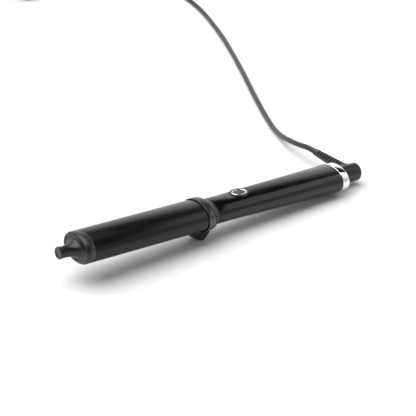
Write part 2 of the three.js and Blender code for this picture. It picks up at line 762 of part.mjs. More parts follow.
function addButton() {
  // the bezel fills the shell's hole and rises a little around the ring
  const bezelBase = handleTop - HANDLE_WALL - BEZEL_REACH;
  const bezelTop = handleTop + BUTTON_PROUD / 2;
  const above = ringTop + CUT_MARGIN;
  const ringSeat = ringBottom - GAP;
  const holeLength = BUTTON_RING_LENGTH - 2 * BUTTON_RING_BAND;
  const holeWidth = BUTTON_RING_WIDTH - 2 * BUTTON_RING_BAND;
  const bezelBlank = ovalColumn(bezelLength, bezelWidth, bezelBase, bezelTop);
  const dome = ovalRod(handleSide, bezelTop, -bezelLength, bezelLength);
  const seat = ovalColumn(BUTTON_RING_LENGTH + 2 * GAP, BUTTON_RING_WIDTH + 2 * GAP,
    ringSeat, above);
  const well = ovalColumn(holeLength, holeWidth, bezelBase - CUT_MARGIN, above);
  const bezel = cut(keep(bezelBlank, dome), seat, well);
  add("button_bezel", bezel, FINISHES.blackSatin).position.x = buttonAt;

  const band = cut(
    ovalColumn(BUTTON_RING_LENGTH, BUTTON_RING_WIDTH, ringBottom, ringTop),
    ovalColumn(holeLength, holeWidth, ringBottom - CUT_MARGIN, above),
  );
  add("button_ring", band, FINISHES.chrome).position.x = buttonAt;

  const capTop = ringTop - GAP;
  const capBottom = capTop - BUTTON_CAP_HEIGHT;
  const cap = ovalColumn(holeLength - 2 * GAP, holeWidth - 2 * GAP, capBottom, capTop);
  add("button_cap", cap, FINISHES.blackGloss).position.x = buttonAt;

  const switchTop = BOARD_TOP + GAP + SWITCH_HEIGHT;
  const plunger = post(PLUNGER_RADIUS, switchTop + BUTTON_TRAVEL + GAP, capBottom - GAP);
  add("switch_plunger", plunger, FINISHES.component).position.x = buttonAt;
  const half = SWITCH_SIZE / 2;
  const body = box(-half, half, -half, half, BOARD_TOP + GAP, switchTop);
  add("tact_switch", body, FINISHES.component).position.x = buttonAt;
}

// ---------------------------------------------------------------- circuit board

function addBoard() {
  const holes = postPlaces.map((at) =>
    post(BOARD_SCREW_RADIUS + GAP, BOARD_TOP - 2 * BOARD_THICKNESS, BOARD_TOP + CUT_MARGIN, at));
  const blank = box(boardFront, boardRear, -BOARD_WIDTH / 2, BOARD_WIDTH / 2,
    BOARD_TOP - BOARD_THICKNESS, BOARD_TOP);
  add("circuit_board", cut(blank, ...holes), FINISHES.board);

  const seat = BOARD_TOP + GAP;
  const onBoard = ([from, length, width, height]) => {
    const front = boardFront + from;
    return box(front, front + length, -width / 2, width / 2, seat, seat + height);
  };
  add("capacitor", onBoard(CAPACITOR), FINISHES.insulation);
  add("triac", onBoard(TRIAC), FINISHES.component);
  add("control_chip", onBoard(CONTROL_CHIP), FINISHES.component);
  const buzzer = post(BUZZER_RADIUS, seat, seat + BUZZER_HEIGHT, boardFront + BUZZER_AT);
  add("buzzer", buzzer, FINISHES.component);

  const names = ["board_screw_front", "board_screw_rear"];
  postPlaces.forEach((at, i) => {
    const screw = join(
      post(BOARD_SCREW_HEAD_RADIUS, seat, seat + BOARD_SCREW_HEAD_HEIGHT),
      post(BOARD_SCREW_RADIUS, BOARD_TOP - BOARD_THICKNESS - BOARD_SCREW_REACH,
        seat + BOARD_SCREW_HEAD_HEIGHT / 2),
    );
    add(names[i], screw, FINISHES.steel).position.x = at;
  });
}

// ---------------------------------------------------------------- rear ring and end cap

const rearA = HANDLE_REAR_WIDTH / 2;
const rearB = HANDLE_REAR_HEIGHT / 2;
const ringInnerA = rearA - REAR_RING_WALL;
const ringInnerB = rearB - REAR_RING_WALL;
const capRear = ringRear - END_CAP_RECESS;

function addRear() {
  const ringOuter = [[ringFront, rearA, rearB], [ringRear, rearA, rearB]];
  const ringBore = [[ringRear, ringInnerA, ringInnerB], [ringFront, ringInnerA, ringInnerB]];
  add("rear_ring", sleeve(ringOuter, ringBore), FINISHES.chrome);

  const spigotFront = handleRear - END_CAP_SPIGOT;
  const [shellA, shellB] = handleSize(spigotFront).map((size) => size - HANDLE_WALL);
  const capOuter = [
    [spigotFront, shellA - GAP, shellB - GAP],
    [ringFront, shellA - GAP, shellB - GAP],
    [ringFront, ringInnerA - GAP, ringInnerB - GAP],
    [capRear, ringInnerA - GAP, ringInnerB - GAP],
  ];
  const capBore = [[capRear, STEM_RADIUS + GAP], [spigotFront, STEM_RADIUS + GAP]];
  add("end_cap", sleeve(capOuter, capBore), FINISHES.blackSatin);
  return spigotFront;
}

// ---------------------------------------------------------------- swivel

const reliefAt = knobRear - RELIEF_FROM_KNOB_END;
const stemFront = knobFront - STEM_LENGTH;
const firstRing = stemFront + SLIP_RING_FIRST;
const slipRings = [firstRing, firstRing + SLIP_RING_PITCH];
const slipRingOuter = STEM_RADIUS + GAP + SLIP_RING_WALL;

// A geometry made along +Z, turned to leave the knob sideways with a slight droop.
function alongRelief(geometry) {
  geometry.rotateX(-Math.PI / 2 + RELIEF_RISE);
  return geometry.translate(reliefAt, 0, 0);
}

function addSwivel(spigotFront) {
  const clipFront = spigotFront - GAP - CLIP_THICKNESS;
  const grooveRadius = STEM_RADIUS - CLIP_GROOVE;
  const knob = [
    [stemFront, 0],
    [stemFront, STEM_RADIUS],
    [clipFront - GAP, STEM_RADIUS],
    [clipFront - GAP, grooveRadius],
    [clipFront + CLIP_THICKNESS + GAP, grooveRadius],
    [clipFront + CLIP_THICKNESS + GAP, STEM_RADIUS],
    [knobFront, STEM_RADIUS],
    [knobFront, KNOB_RADIUS - KNOB_EDGE],
    [knobFront + KNOB_EDGE, KNOB_RADIUS],
  ];
  for (const swing of quarterTurn(CURVE_STEPS)) {
    knob.push([
      knobRear - KNOB_ROUND * (1 - Math.sin(swing)),
      KNOB_RADIUS - KNOB_ROUND * (1 - Math.cos(swing)),
    ]);
  }
  knob.push([knobRear, 0]);
  const boss = alongRelief(post(RELIEF_BOSS_RADIUS, 0, RELIEF_BOSS_REACH));
  const socket = post(RELIEF_SOCKET_RADIUS + GAP, 0, RELIEF_BOSS_REACH + CUT_MARGIN);
  const wireWay = rod(STEM_BORE_RADIUS, stemFront - CUT_MARGIN, reliefAt);
  const body = join(roundLathe(knob), boss);
  add("swivel_knob", cut(body, alongRelief(socket), wireWay), FINISHES.blackSatin);

  // open retaining clip in the stem's groove, inside the handle
  const clipRear = clipFront + CLIP_THICKNESS;
  const disc = sleeve(
    [[clipFront, CLIP_RADIUS], [clipRear, CLIP_RADIUS]],
    [[clipRear, grooveRadius + GAP], [clipFront, grooveRadius + GAP]], ROUND_SIDES);
  const mouth = box(clipFront - CUT_MARGIN, clipRear + CUT_MARGIN, -grooveRadius, grooveRadius,
    -CLIP_RADIUS - CUT_MARGIN, 0);
  add("swivel_clip", cut(disc, mouth), FINISHES.steel);

  const names = ["slip_ring_live", "slip_ring_neutral"];
  slipRings.forEach((at, i) => {
    const inner = STEM_RADIUS + GAP;
    const band = sleeve(
      [[at, slipRingOuter], [at + SLIP_RING_WIDTH, slipRingOuter]],
      [[at + SLIP_RING_WIDTH, inner], [at, inner]], ROUND_SIDES);
    add(names[i], band, FINISHES.brass);
  });

  // brush block on the handle's floor, one brush under each ring
  const brushTop = -slipRingOuter - GAP;
  const blockTop = brushTop - BRUSH_PROUD;
  const blockFront = slipRings[0] - BRUSH_BLOCK_EDGE;
  const halfBlock = BRUSH_BLOCK_WIDTH / 2;
  const [shellA, shellB] = handleSize(blockFront).map((size) => size - HANDLE_WALL);
  const floor = -shellB * Math.sqrt(1 - (halfBlock / shellA) ** 2) + 2 * GAP;
  const blockBottom = Math.max(blockTop - BRUSH_BLOCK_HEIGHT, floor);
  const blockRear = slipRings[1] + SLIP_RING_WIDTH + BRUSH_BLOCK_EDGE;
  const pocket = blockTop - BRUSH_POCKET;
  const halfBrush = BRUSH_WIDTH / 2;
  const middle = (at) => at + SLIP_RING_WIDTH / 2;
  const pockets = slipRings.map((at) => {
    const room = halfBrush + GAP;
    return box(middle(at) - room, middle(at) + room, -room, room, pocket, blockTop + CUT_MARGIN);
  });
  const block = box(blockFront, blockRear, -halfBlock, halfBlock, blockBottom, blockTop);
  add("brush_block", cut(block, ...pockets), FINISHES.component);
  const brushNames = ["brush_live", "brush_neutral"];
  slipRings.forEach((at, i) => {
    const brush = box(-halfBrush, halfBrush, -halfBrush, halfBrush, pocket + GAP, brushTop);
    add(brushNames[i], brush, FINISHES.component).position.x = middle(at);
  });
}

// ---------------------------------------------------------------- strain relief

const reliefBase = RELIEF_BOSS_REACH + GAP;
const reliefEnd = reliefBase + RELIEF_LENGTH;

function addRelief() {
  // tapered body with square grooves between its ribs, and a root in the knob's socket
  const radiusAt = (along) =>
    THREE.MathUtils.lerp(RELIEF_ROOT_RADIUS, RELIEF_TIP_RADIUS, (along - reliefBase) / RELIEF_LENGTH);
  const rootFrom = STEM_BORE_RADIUS + RELIEF_ROOT_CLEARANCE;
  const outline = [
    [rootFrom, 0],
    [rootFrom, RELIEF_SOCKET_RADIUS],
    [reliefBase, RELIEF_SOCKET_RADIUS],
    [reliefBase, RELIEF_ROOT_RADIUS],
  ];
  for (let i = 0; i < RELIEF_RIBS; i++) {
    const from = reliefBase + RELIEF_RIB_FIRST + i * RELIEF_RIB_PITCH;
    const to = from + RELIEF_RIB_PITCH / 2;
    const depth = RELIEF_RIB_GROOVE;
    outline.push([from, radiusAt(from)], [from, radiusAt(from) - depth]);
    outline.push([to, radiusAt(to) - depth], [to, radiusAt(to)]);
  }
  outline.push([reliefEnd, RELIEF_TIP_RADIUS], [reliefEnd, 0]);
  const profile = outline.map(([along, radius]) => new THREE.Vector2(radius, along));
  const body = new THREE.LatheGeometry(profile, RELIEF_SIDES);
  body.rotateX(Math.PI / 2);
  add("strain_relief", alongRelief(body), FINISHES.cordSheath);
}

// ---------------------------------------------------------------- inner leads

function addLeads(heaterRear, carrier) {
  const lift = BOARD_TOP + GAP + LEAD_RADIUS + LEAD_ROOM;
  const names = ["heater_lead_live", "heater_lead_neutral"];
  [-1, 1].forEach((side, i) => {
    const out = side * (carrierBoreA - HEATER_LEAD_FROM_WALL);
    const route = [
      point(heaterRear + SENSOR_FROM_HEATER, out, 0),
      point(carrier.plugFront + HEATER_LEAD_FROM_WALL, out, 0),
      point(carrier.tailRear, out, lift / 2),
      point(boardFront + LEAD_INSET, out, lift),
    ];
    const lead = tube(route, LEAD_RADIUS, HEATER_LEAD_STEPS, LEAD_SIDES);
    add(names[i], lead, FINISHES.insulation);
  });
  const mainsNames = ["mains_lead_live", "mains_lead_neutral"];
  [-1, 1].forEach((side, i) => {
    const out = side * MAINS_LEAD_ASIDE;
    const blockSide = BRUSH_BLOCK_WIDTH / 2 + GAP + LEAD_RADIUS + LEAD_ROOM;
    const brushAt = slipRings[i] + SLIP_RING_WIDTH / 2;
    const [leaves, dropped] = MAINS_LEAD_BENDS.map((share) =>
      THREE.MathUtils.lerp(boardRear, brushAt, share));
    const route = [
      point(boardRear - LEAD_INSET, out, lift),
      point(leaves, out, lift),
      point(dropped, out, -MAINS_LEAD_DROP),
      point(brushAt, side * blockSide, MAINS_LEAD_END),
    ];
    const lead = tube(route, LEAD_RADIUS, MAINS_LEAD_STEPS, LEAD_SIDES);
    add(mainsNames[i], lead, FINISHES.insulation);
  });
}

// ---------------------------------------------------------------- cord, coil and plug

// a point of the relief's axis, seen in the part's own frame
function reliefPoint(along) {
  wand.updateMatrixWorld(true);
  const local = point(reliefAt, along * Math.cos(RELIEF_RISE), along * Math.sin(RELIEF_RISE));
  return local.applyMatrix4(wand.matrixWorld);
}

const coilMiddle = COIL_LENGTH / (2 * Math.PI * COIL_TURNS);
const coilOuter = coilMiddle + COIL_ROWS * CORD_RADIUS;
const coilInner = coilMiddle - COIL_ROWS * CORD_RADIUS;
const coilBottom = TIE_THICKNESS + GAP;
const coilTop = coilBottom + 2 * COIL_LAYERS * CORD_RADIUS;
const cordEnd = reliefPoint(reliefEnd + GAP);
const [routeEndX, routeEndY] = CORD_ROUTE[CORD_ROUTE.length - 1];
const coilX = cordEnd.x + routeEndX - (coilOuter - CORD_RADIUS);
const coilY = cordEnd.y + routeEndY + COIL_LEAD;
const tailY = coilY + coilOuter - CORD_RADIUS;
const tailEnd = coilX - COIL_LEAD - TAIL_REACH;

// height of the cord's centre along its free stretch
function cordHeight(alongY) {
  const resting = CORD_RADIUS + CORD_FLOAT;
  const fallen = THREE.MathUtils.smoothstep(alongY, 0, CORD_FALL);
  const climbed = THREE.MathUtils.smoothstep(alongY, routeEndY - CORD_CLIMB, routeEndY);
  const lowestRow = coilBottom + CORD_RADIUS;
  return resting + (cordEnd.z - resting) * (1 - fallen) + (lowestRow - resting) * climbed;
}

function addCord() {
  const route = CORD_ROUTE.map(([x, y]) => point(cordEnd.x + x, cordEnd.y + y, cordHeight(y)));
  const straight = reliefPoint(reliefEnd + CORD_STRAIGHT);
  const run = tube([cordEnd, straight, ...route], CORD_RADIUS, CORD_STEPS, CORD_SIDES);
  add("cord", run, FINISHES.cordSheath, part);

  // the coil's last turn comes down from its top row to the middle of the plug
  const tailRoute = [];
  for (let i = 0; i <= CURVE_STEPS; i++) {
    const along = i / CURVE_STEPS;
    const fallen = THREE.MathUtils.smoothstep(along, 0, 1);
    const height = THREE.MathUtils.lerp(coilTop - CORD_RADIUS, PLUG_THICKNESS / 2, fallen);
    tailRoute.push(point(coilX - COIL_LEAD - TAIL_REACH * along, tailY, height));
  }
  const tail = tube(tailRoute, CORD_RADIUS, TAIL_STEPS, CORD_SIDES);
  add("cord_tail", tail, FINISHES.cordSheath, part);

  const ringProfile = [
    [coilInner, coilBottom],
    [coilOuter, coilBottom],
    [coilOuter, coilTop],
    [coilInner, coilTop],
    [coilInner, coilBottom],
  ].map(([radius, height]) => new THREE.Vector2(radius, height));
  const ring = new THREE.LatheGeometry(ringProfile, COIL_SIDES);
  ring.rotateX(Math.PI / 2);
  add("cord_coil", ring, FINISHES.cordSheath, part).position.set(coilX, coilY, 0);

  // strap around the coil's section
  const halfTie = TIE_WIDTH / 2;
  const inside = Math.sqrt(coilInner ** 2 - halfTie ** 2) - GAP;
  const strap = cut(
    box(inside - TIE_THICKNESS, coilOuter + GAP + TIE_THICKNESS, -halfTie, halfTie,
      0, coilTop + GAP + TIE_THICKNESS),
    box(inside, coilOuter + GAP, -TIE_WIDTH, TIE_WIDTH, TIE_THICKNESS, coilTop + GAP),
  );
  const tie = add("coil_tie", strap, FINISHES.component, part);
  tie.rotation.z = THREE.MathUtils.degToRad(TIE_TURN);
  tie.position.set(coilX, coilY, 0);
}

function addPlug() {
  const neck = tailEnd - GAP;
  const back = neck - PLUG_TAIL_LENGTH;
  const shoulder = back - PLUG_LENGTH * PLUG_SHOULDER_SHARE;
  const face = back - PLUG_LENGTH;
  const half = PLUG_WIDTH / 2;
  const halfBack = PLUG_TAIL_WIDTH / 2;
  const halfNeck = halfBack - PLUG_TAIL_TAPER;

  // outline seen from above: a tapering tail, round shoulders and a flat face
  const outline = new THREE.Shape();
  outline.moveTo(neck, -halfNeck);
  outline.lineTo(neck, halfNeck);
  outline.lineTo(back, halfBack);
  outline.quadraticCurveTo(back, half, shoulder, half);
  outline.lineTo(face + PLUG_CORNER, half);
  outline.quadraticCurveTo(face, half, face, half - PLUG_CORNER);
  outline.lineTo(face, -half + PLUG_CORNER);
  outline.quadraticCurveTo(face, -half, face + PLUG_CORNER, -half);
  outline.lineTo(shoulder, -half);
  outline.quadraticCurveTo(back, -half, back, -halfBack);
  const flat = new THREE.ExtrudeGeometry(outline, {
    depth: PLUG_THICKNESS, bevelEnabled: false, curveSegments: CURVE_STEPS,
  });

  // outline seen from the side, which thins the tail
  const side = new THREE.Shape();
  const middleHeight = PLUG_THICKNESS / 2;
  side.moveTo(neck, middleHeight - halfNeck);
  side.lineTo(neck, middleHeight + halfNeck);
  side.lineTo(back, middleHeight + halfBack);
  side.quadraticCurveTo(back, PLUG_THICKNESS, shoulder, PLUG_THICKNESS);
  side.lineTo(face - CUT_MARGIN, PLUG_THICKNESS);
  side.lineTo(face - CUT_MARGIN, 0);
  side.lineTo(shoulder, 0);
  side.quadraticCurveTo(back, 0, back, middleHeight - halfBack);
  const profile = new THREE.ExtrudeGeometry(side, {
    depth: 2 * PLUG_WIDTH, bevelEnabled: false, curveSegments: CURVE_STEPS,
  });
  profile.rotateX(Math.PI / 2);
  profile.translate(0, PLUG_WIDTH, 0);
  add("plug_body", keep(flat, profile), FINISHES.cordSheath, part).position.y = tailY;

  const bladeFront = face - GAP - BLADE_LENGTH;
  const bladeBottom = middleHeight - BLADE_WIDTH / 2;
  for (const [name, sideways] of [["plug_blade_left", -1], ["plug_blade_right", 1]]) {
    const at = tailY + (sideways * BLADE_SPACING) / 2;
    const blade = box(bladeFront, face - GAP, at - BLADE_THICKNESS / 2, at + BLADE_THICKNESS / 2,
      bladeBottom, bladeBottom + BLADE_WIDTH);
    add(name, blade, FINISHES.brass, part);
  }
}

// ---------------------------------------------------------------- build it

const bridgeRear = addCoolTip();
const heaterRear = addBarrel(bridgeRear);
const carrier = addCollar();
addStand();
addHandle();
addButton();
addBoard();
const spigotFront = addRear();
addSwivel(spigotFront);
addRelief();
addLeads(heaterRear, carrier);
addCord();
addPlug();

export default part;
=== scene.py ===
# %% [markdown]
# # A curling wand with an oval barrel
# The CAD model of the wand holds every size, fit and joint. This lesson gives the wand its looks:
# each outer piece is modelled again with smooth ovals and rounded edges, and every inner piece gets a
# material of its own. Everything is in metres, in the frame that the CAD model sets: the origin is
# under the stand's foot, +X runs from the tip to the cord end and +Z is up.

# %% Load the frame
import json
import math
import bpy
from mathutils import Matrix, Vector


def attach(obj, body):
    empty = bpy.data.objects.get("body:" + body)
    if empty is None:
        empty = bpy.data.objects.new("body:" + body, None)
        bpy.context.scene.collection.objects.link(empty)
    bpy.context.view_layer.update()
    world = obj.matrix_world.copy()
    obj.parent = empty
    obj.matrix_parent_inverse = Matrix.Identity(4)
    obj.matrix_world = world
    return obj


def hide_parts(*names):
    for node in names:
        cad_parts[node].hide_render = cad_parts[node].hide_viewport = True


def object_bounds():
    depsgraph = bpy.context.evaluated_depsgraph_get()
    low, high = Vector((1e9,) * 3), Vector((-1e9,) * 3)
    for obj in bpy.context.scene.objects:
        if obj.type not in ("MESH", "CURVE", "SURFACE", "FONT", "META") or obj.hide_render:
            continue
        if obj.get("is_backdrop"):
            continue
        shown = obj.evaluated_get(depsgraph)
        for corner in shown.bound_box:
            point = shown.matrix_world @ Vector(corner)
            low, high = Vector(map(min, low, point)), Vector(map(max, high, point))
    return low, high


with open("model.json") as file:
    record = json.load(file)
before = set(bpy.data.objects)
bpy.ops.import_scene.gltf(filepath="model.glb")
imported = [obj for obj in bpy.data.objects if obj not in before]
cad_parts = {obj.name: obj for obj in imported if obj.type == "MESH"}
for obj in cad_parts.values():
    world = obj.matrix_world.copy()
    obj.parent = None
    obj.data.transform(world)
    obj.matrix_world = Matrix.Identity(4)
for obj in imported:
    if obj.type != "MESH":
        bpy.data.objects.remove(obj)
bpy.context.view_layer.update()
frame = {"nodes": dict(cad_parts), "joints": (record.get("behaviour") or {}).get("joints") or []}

# %% [markdown]
# ## The wand's own axis
# The wand lies nose up, so its axis is tilted. It is far easier to model each piece level, with the axis
# along X and the rim's rear face at zero, and to seat it on the tilted wand at the end. The swivel's
# joint gives both the axis and a point on it, so the tilt is read from there.

# %% Read the tilt from the swivel's joint
KNOB_FRONT = 0.2858  # place of the swivel's joint along the wand
swivel_joint = next(j for j in frame["joints"] if j["name"] == "cord_swivel_turn")
wand_axis = Vector(swivel_joint["axis"]).normalized()
wand_up = Vector((-wand_axis.z, 0, wand_axis.x))
level_to_wand = Matrix((wand_axis, (0, 1, 0), wand_up)).transposed().to_4x4()
wand_zero = Vector(swivel_joint["pos_m"]) - KNOB_FRONT * wand_axis
WAND = Matrix.Translation(wand_zero) @ level_to_wand
TILT = math.atan2(-wand_axis.z, wand_axis.x)
print("tilt", round(math.degrees(TILT), 2), "degrees")

# %% [markdown]
# ## The camera
# A long lens from well over a metre away, heading between +Y and +X and looking down at the table.
# It stands still in the scene, so everything after it can be judged from the same place.

# %% Place the camera
CAMERA_PLACE = (-0.7280, -0.9451, 0.6186)
CAMERA_HEADING = math.radians(38.0)  # from +Y towards +X
CAMERA_LOOKS_DOWN = math.radians(26.3)
CAMERA_LENS = 133.8  # millimetres, as lenses are sold
bpy.ops.object.camera_add(
    location=CAMERA_PLACE,
    rotation=(math.pi / 2 - CAMERA_LOOKS_DOWN, 0, -CAMERA_HEADING),
)
camera = bpy.context.active_object
camera.data.lens = CAMERA_LENS
camera.data.clip_start = 0.01
bpy.context.scene.camera = camera
camera_looks = camera.matrix_world.to_quaternion() @ Vector((0, 0, -1))
print("camera looks along", [round(v, 3) for v in camera_looks])

# %% [markdown]
# ## Helpers for modelling
# Nearly every piece of a wand is an oval that changes size along the axis. By hand that is a circle,
# extruded and scaled again and again, and `loft` does just that. A hollow piece runs out along its
# outside and back along its bore, and its last ring is welded to the first.

# %% Edit-mode helpers
OVAL_SIDES = 128
ROUND_SIDES = 64
WELD = 1e-6


def select_only(piece):
    bpy.ops.object.select_all(action="DESELECT")
    piece.select_set(True)
    bpy.context.view_layer.objects.active = piece


def fix_place(piece):
    """Writes a piece's place and turn into its mesh, so its object is back at the origin."""
    select_only(piece)
    bpy.ops.object.transform_apply(location=True, rotation=True, scale=True)


def loft(name, stations, sides=OVAL_SIDES, hollow=False):
    """Extrudes an oval along X. A station is (place, half width, half height)."""
    at, wide, high = stations[0]
    bpy.ops.object.select_all(action="DESELECT")
    fill = "NOTHING" if hollow else "NGON"
    bpy.ops.mesh.primitive_circle_add(
        vertices=sides, radius=1, rotation=(0, math.pi / 2, 0), fill_type=fill,
    )
    piece = bpy.context.active_object
    piece.name = name
    fix_place(piece)
    bpy.ops.object.mode_set(mode="EDIT")
    bpy.ops.mesh.select_mode(type="VERT")
    bpy.ops.mesh.select_all(action="SELECT")
    bpy.ops.transform.resize(value=(1, wide, high), center_override=(0, 0, 0))
    bpy.ops.transform.translate(value=(at, 0, 0))
    for next_at, next_wide, next_high in stations[1:]:
        bpy.ops.mesh.extrude_region_move(TRANSFORM_OT_translate={"value": (next_at - at, 0, 0)})
        grow = (1, next_wide / wide, next_high / high)
        bpy.ops.transform.resize(value=grow, center_override=(next_at, 0, 0))
        at, wide, high = next_at, next_wide, next_high
    if hollow:
        bpy.ops.mesh.select_all(action="SELECT")
        bpy.ops.mesh.remove_doubles(threshold=WELD)
    bpy.ops.mesh.select_all(action="SELECT")
    bpy.ops.mesh.normals_make_consistent(inside=False)
    bpy.ops.object.mode_set(mode="OBJECT")
    return piece


def round_loft(name, stations, hollow=False):
    return loft(name, [(at, radius, radius) for at, radius in stations], ROUND_SIDES, hollow)


def quarter_turn(steps):
    return [i / steps * math.pi / 2 for i in range(steps + 1)]


def front_round(at, radius, edge, swings):
    """Stations of a rounded edge that starts at a front face and grows to the full radius."""
    return [(at + edge * (1 - math.cos(s)), radius - edge * (1 - math.sin(s))) for s in swings]


def rear_round(at, radius, edge, swings):
    """Stations of a rounded edge that shrinks from the full radius to a rear face."""
    return [(at - edge * (1 - math.sin(s)), radius - edge * (1 - math.cos(s))) for s in swings]


def apply_modifier(piece, kind, **settings):
    select_only(piece)
    modifier = piece.modifiers.new(kind.lower(), kind)
    for key, value in settings.items():
        setattr(modifier, key, value)
    bpy.ops.object.modifier_apply(modifier=modifier.name)


def soften(piece, width, segments=3, angle=35):
    """Rounds every edge that is sharper than the angle."""
    apply_modifier(piece, "BEVEL", width=width, segments=segments, limit_method="ANGLE",
                   angle_limit=math.radians(angle), harden_normals=False)


def carve(piece, tool, operation="DIFFERENCE"):
    apply_modifier(piece, "BOOLEAN", operation=operation, object=tool, solver="EXACT")
    bpy.data.objects.remove(tool)


def smooth(piece, angle=35):
    select_only(piece)
    bpy.ops.object.shade_smooth_by_angle(angle=math.radians(angle))


def seat(piece):
    """Lays a piece that was modelled level onto the tilted wand."""
    piece.matrix_world = WAND @ piece.matrix_world
    fix_place(piece)


def upright(piece, at):
    """Stands a loft up at a place on the wand: its length along Z, its half height along X."""
    piece.matrix_world = Matrix.Translation((at, 0, 0)) @ Matrix.Rotation(-math.pi / 2, 4, "Y")
    fix_place(piece)


def finish_piece(piece, body, slot, *nodes):
    """Smooths a piece, hangs it on its body and lets it stand for its CAD nodes."""
    smooth(piece)
    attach(piece, body)
    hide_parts(*nodes)
    low = min(v.co.z for v in piece.data.vertices)
    print(piece.name, len(piece.data.polygons), "faces, lowest point", round(low, 5))
    return piece


# %% [markdown]
# ## The mains cord
# A mains cord is one fixed length of something flexible. It leaves the strain relief, comes down to
# the table under its own weight and runs off in one long curve. The rest is put away: wound into a
# neat coil that a strap holds, with the plug on its short tail. The free stretch follows listed points,
# counted from the relief's end, and the coil is worked out turn by turn.

# %% Where the cord leaves the relief
CLEARANCE = 0.0003
KNOB_REAR = 0.3110
RELIEF_AT = KNOB_REAR - 0.0074
RELIEF_RISE = math.radians(4)
RELIEF_BASE = 0.0103  # from the wand's axis
RELIEF_LENGTH = 0.040
RELIEF_END = RELIEF_BASE + RELIEF_LENGTH
CORD_STRAIGHT = 0.009


def on_relief(along):
    """A point on the relief's axis, which leaves the knob sideways and rises a little."""
    level = (RELIEF_AT, along * math.cos(RELIEF_RISE), along * math.sin(RELIEF_RISE))
    return WAND @ Vector(level)


cord_exit = on_relief(RELIEF_END + CLEARANCE)
print("the cord leaves at", [round(v, 4) for v in cord_exit])

# %% The free stretch, from listed points
CORD_RADIUS = 0.0026
CORD_FLOAT = 0.0002
CORD_FALL = 0.100  # distance along Y in which it comes down to the table
CORD_CLIMB = 0.065  # distance along Y in which it rises to the coil's lowest row
CORD_ROUTE = [  # along X and Y from the relief's end
    (0.0015, 0.0245), (0.0045, 0.0405), (0.0094, 0.0565), (0.0158, 0.0725), (0.0236, 0.0895),
    (0.0334, 0.1095), (0.0472, 0.1365), (0.0648, 0.1695), (0.0846, 0.2055), (0.1052, 0.2435),
    (0.1262, 0.2835), (0.1472, 0.3255), (0.1672, 0.3695), (0.1852, 0.4135), (0.1982, 0.4545),
    (0.2048, 0.4925), (0.2066, 0.5200), (0.2067, 0.5450),
]
TIE_THICKNESS = 0.0008
coil_bottom = TIE_THICKNESS + CLEARANCE
route_end = Vector(CORD_ROUTE[-1])


def smooth_step(value, start, end):
    share = min(max((value - start) / (end - start), 0), 1)
    return share * share * (3 - 2 * share)


def cord_height(along_y):
    resting = CORD_RADIUS + CORD_FLOAT
    fallen = smooth_step(along_y, 0, CORD_FALL)
    climbed = smooth_step(along_y, route_end.y - CORD_CLIMB, route_end.y)
    lowest_row = coil_bottom + CORD_RADIUS
    return resting + (cord_exit.z - resting) * (1 - fallen) + (lowest_row - resting) * climbed


def through(points, step=0.004):
    """A smooth line through the points, with its own points a step apart."""
    gaps = [(b - a).length for a, b in zip(points, points[1:])]
    slopes = [(points[1] - points[0]) / gaps[0]]
    for i in range(1, len(points) - 1):
        slopes.append((points[i + 1] - points[i - 1]) / (gaps[i - 1] + gaps[i]))
    slopes.append((points[-1] - points[-2]) / gaps[-1])
    line = []
    for i, gap in enumerate(gaps):
        steps = max(2, round(gap / step))
        for j in range(steps):
            t = j / steps
            line.append(
                (2 * t**3 - 3 * t**2 + 1) * points[i] + (t**3 - 2 * t**2 + t) * gap * slopes[i]
                + (3 * t**2 - 2 * t**3) * points[i + 1] + (t**3 - t**2) * gap * slopes[i + 1]
            )
    return line + [points[-1]]


free_points = [cord_exit, on_relief(RELIEF_END + CORD_STRAIGHT)]
free_points += [
    Vector((cord_exit.x + x, cord_exit.y + y, cord_height(y))) for x, y in CORD_ROUTE
]
free_stretch = through(free_points)
print("free stretch has", len(free_points), "points by hand and", len(free_stretch), "in all")

# %% The coil, turn by turn
COIL_LENGTH = 2.020
COIL_TURNS = 11.25
COIL_ROWS = 3
COIL_LAYERS = 4
COIL_LEAD = 0.0186
STEPS_PER_TURN = 48
MOVES_FROM = 0.30  # share of each turn after which a turn moves over to its next place
pitch = 2 * CORD_RADIUS
coil_middle = COIL_LENGTH / (2 * math.pi * COIL_TURNS)
outer_row = coil_middle + (COIL_ROWS - 1) / 2 * pitch
coil_centre = Vector((
    cord_exit.x + route_end.x - outer_row,
    cord_exit.y + route_end.y + COIL_LEAD,
    0,
))

# each turn's (row, layer): inwards on one layer, outwards on the next
turn_places = []
for layer in range(COIL_LAYERS):
    rows = range(COIL_ROWS) if layer % 2 == 0 else reversed(range(COIL_ROWS))
    turn_places += [(row, layer) for row in rows]

# the last turns move over first, so each moves into a place that is already free
move_order = {}
group = -1
for turn in reversed(range(len(turn_places) - 1)):
    after_next = min(turn + 2, len(turn_places) - 1)
    rises = turn_places[turn][1] != turn_places[turn + 1][1]
    next_rises = turn_places[turn + 1][1] != turn_places[after_next][1]
    if rises or group < 0 or next_rises:
        group += 1
    move_order[turn] = group
moves = group + 1


def coil_point(turned):
    """Where the cord's centre is after that many turns."""
    turn = min(int(turned), len(turn_places) - 1)
    row, layer = turn_places[turn]
    if turn in move_order:
        window = (1 - MOVES_FROM) / moves
        start = MOVES_FROM + window * move_order[turn]
        moved = smooth_step(turned - turn, start, start + window)
        next_row, next_layer = turn_places[turn + 1]
        row += moved * (next_row - row)
        layer += moved * (next_layer - layer)
    radius = outer_row - row * pitch
    angle = 2 * math.pi * turned
    height = coil_bottom + CORD_RADIUS + layer * pitch
    return coil_centre + Vector((radius * math.cos(angle), radius * math.sin(angle), height))


coil_steps = round(COIL_TURNS * STEPS_PER_TURN)
coil_line = [coil_point(COIL_TURNS * i / coil_steps) for i in range(coil_steps + 1)]
coil_width = 2 * (outer_row + CORD_RADIUS)
print("coil is", round(coil_width * 1000, 1), "mm across and moves over in", moves, "groups")

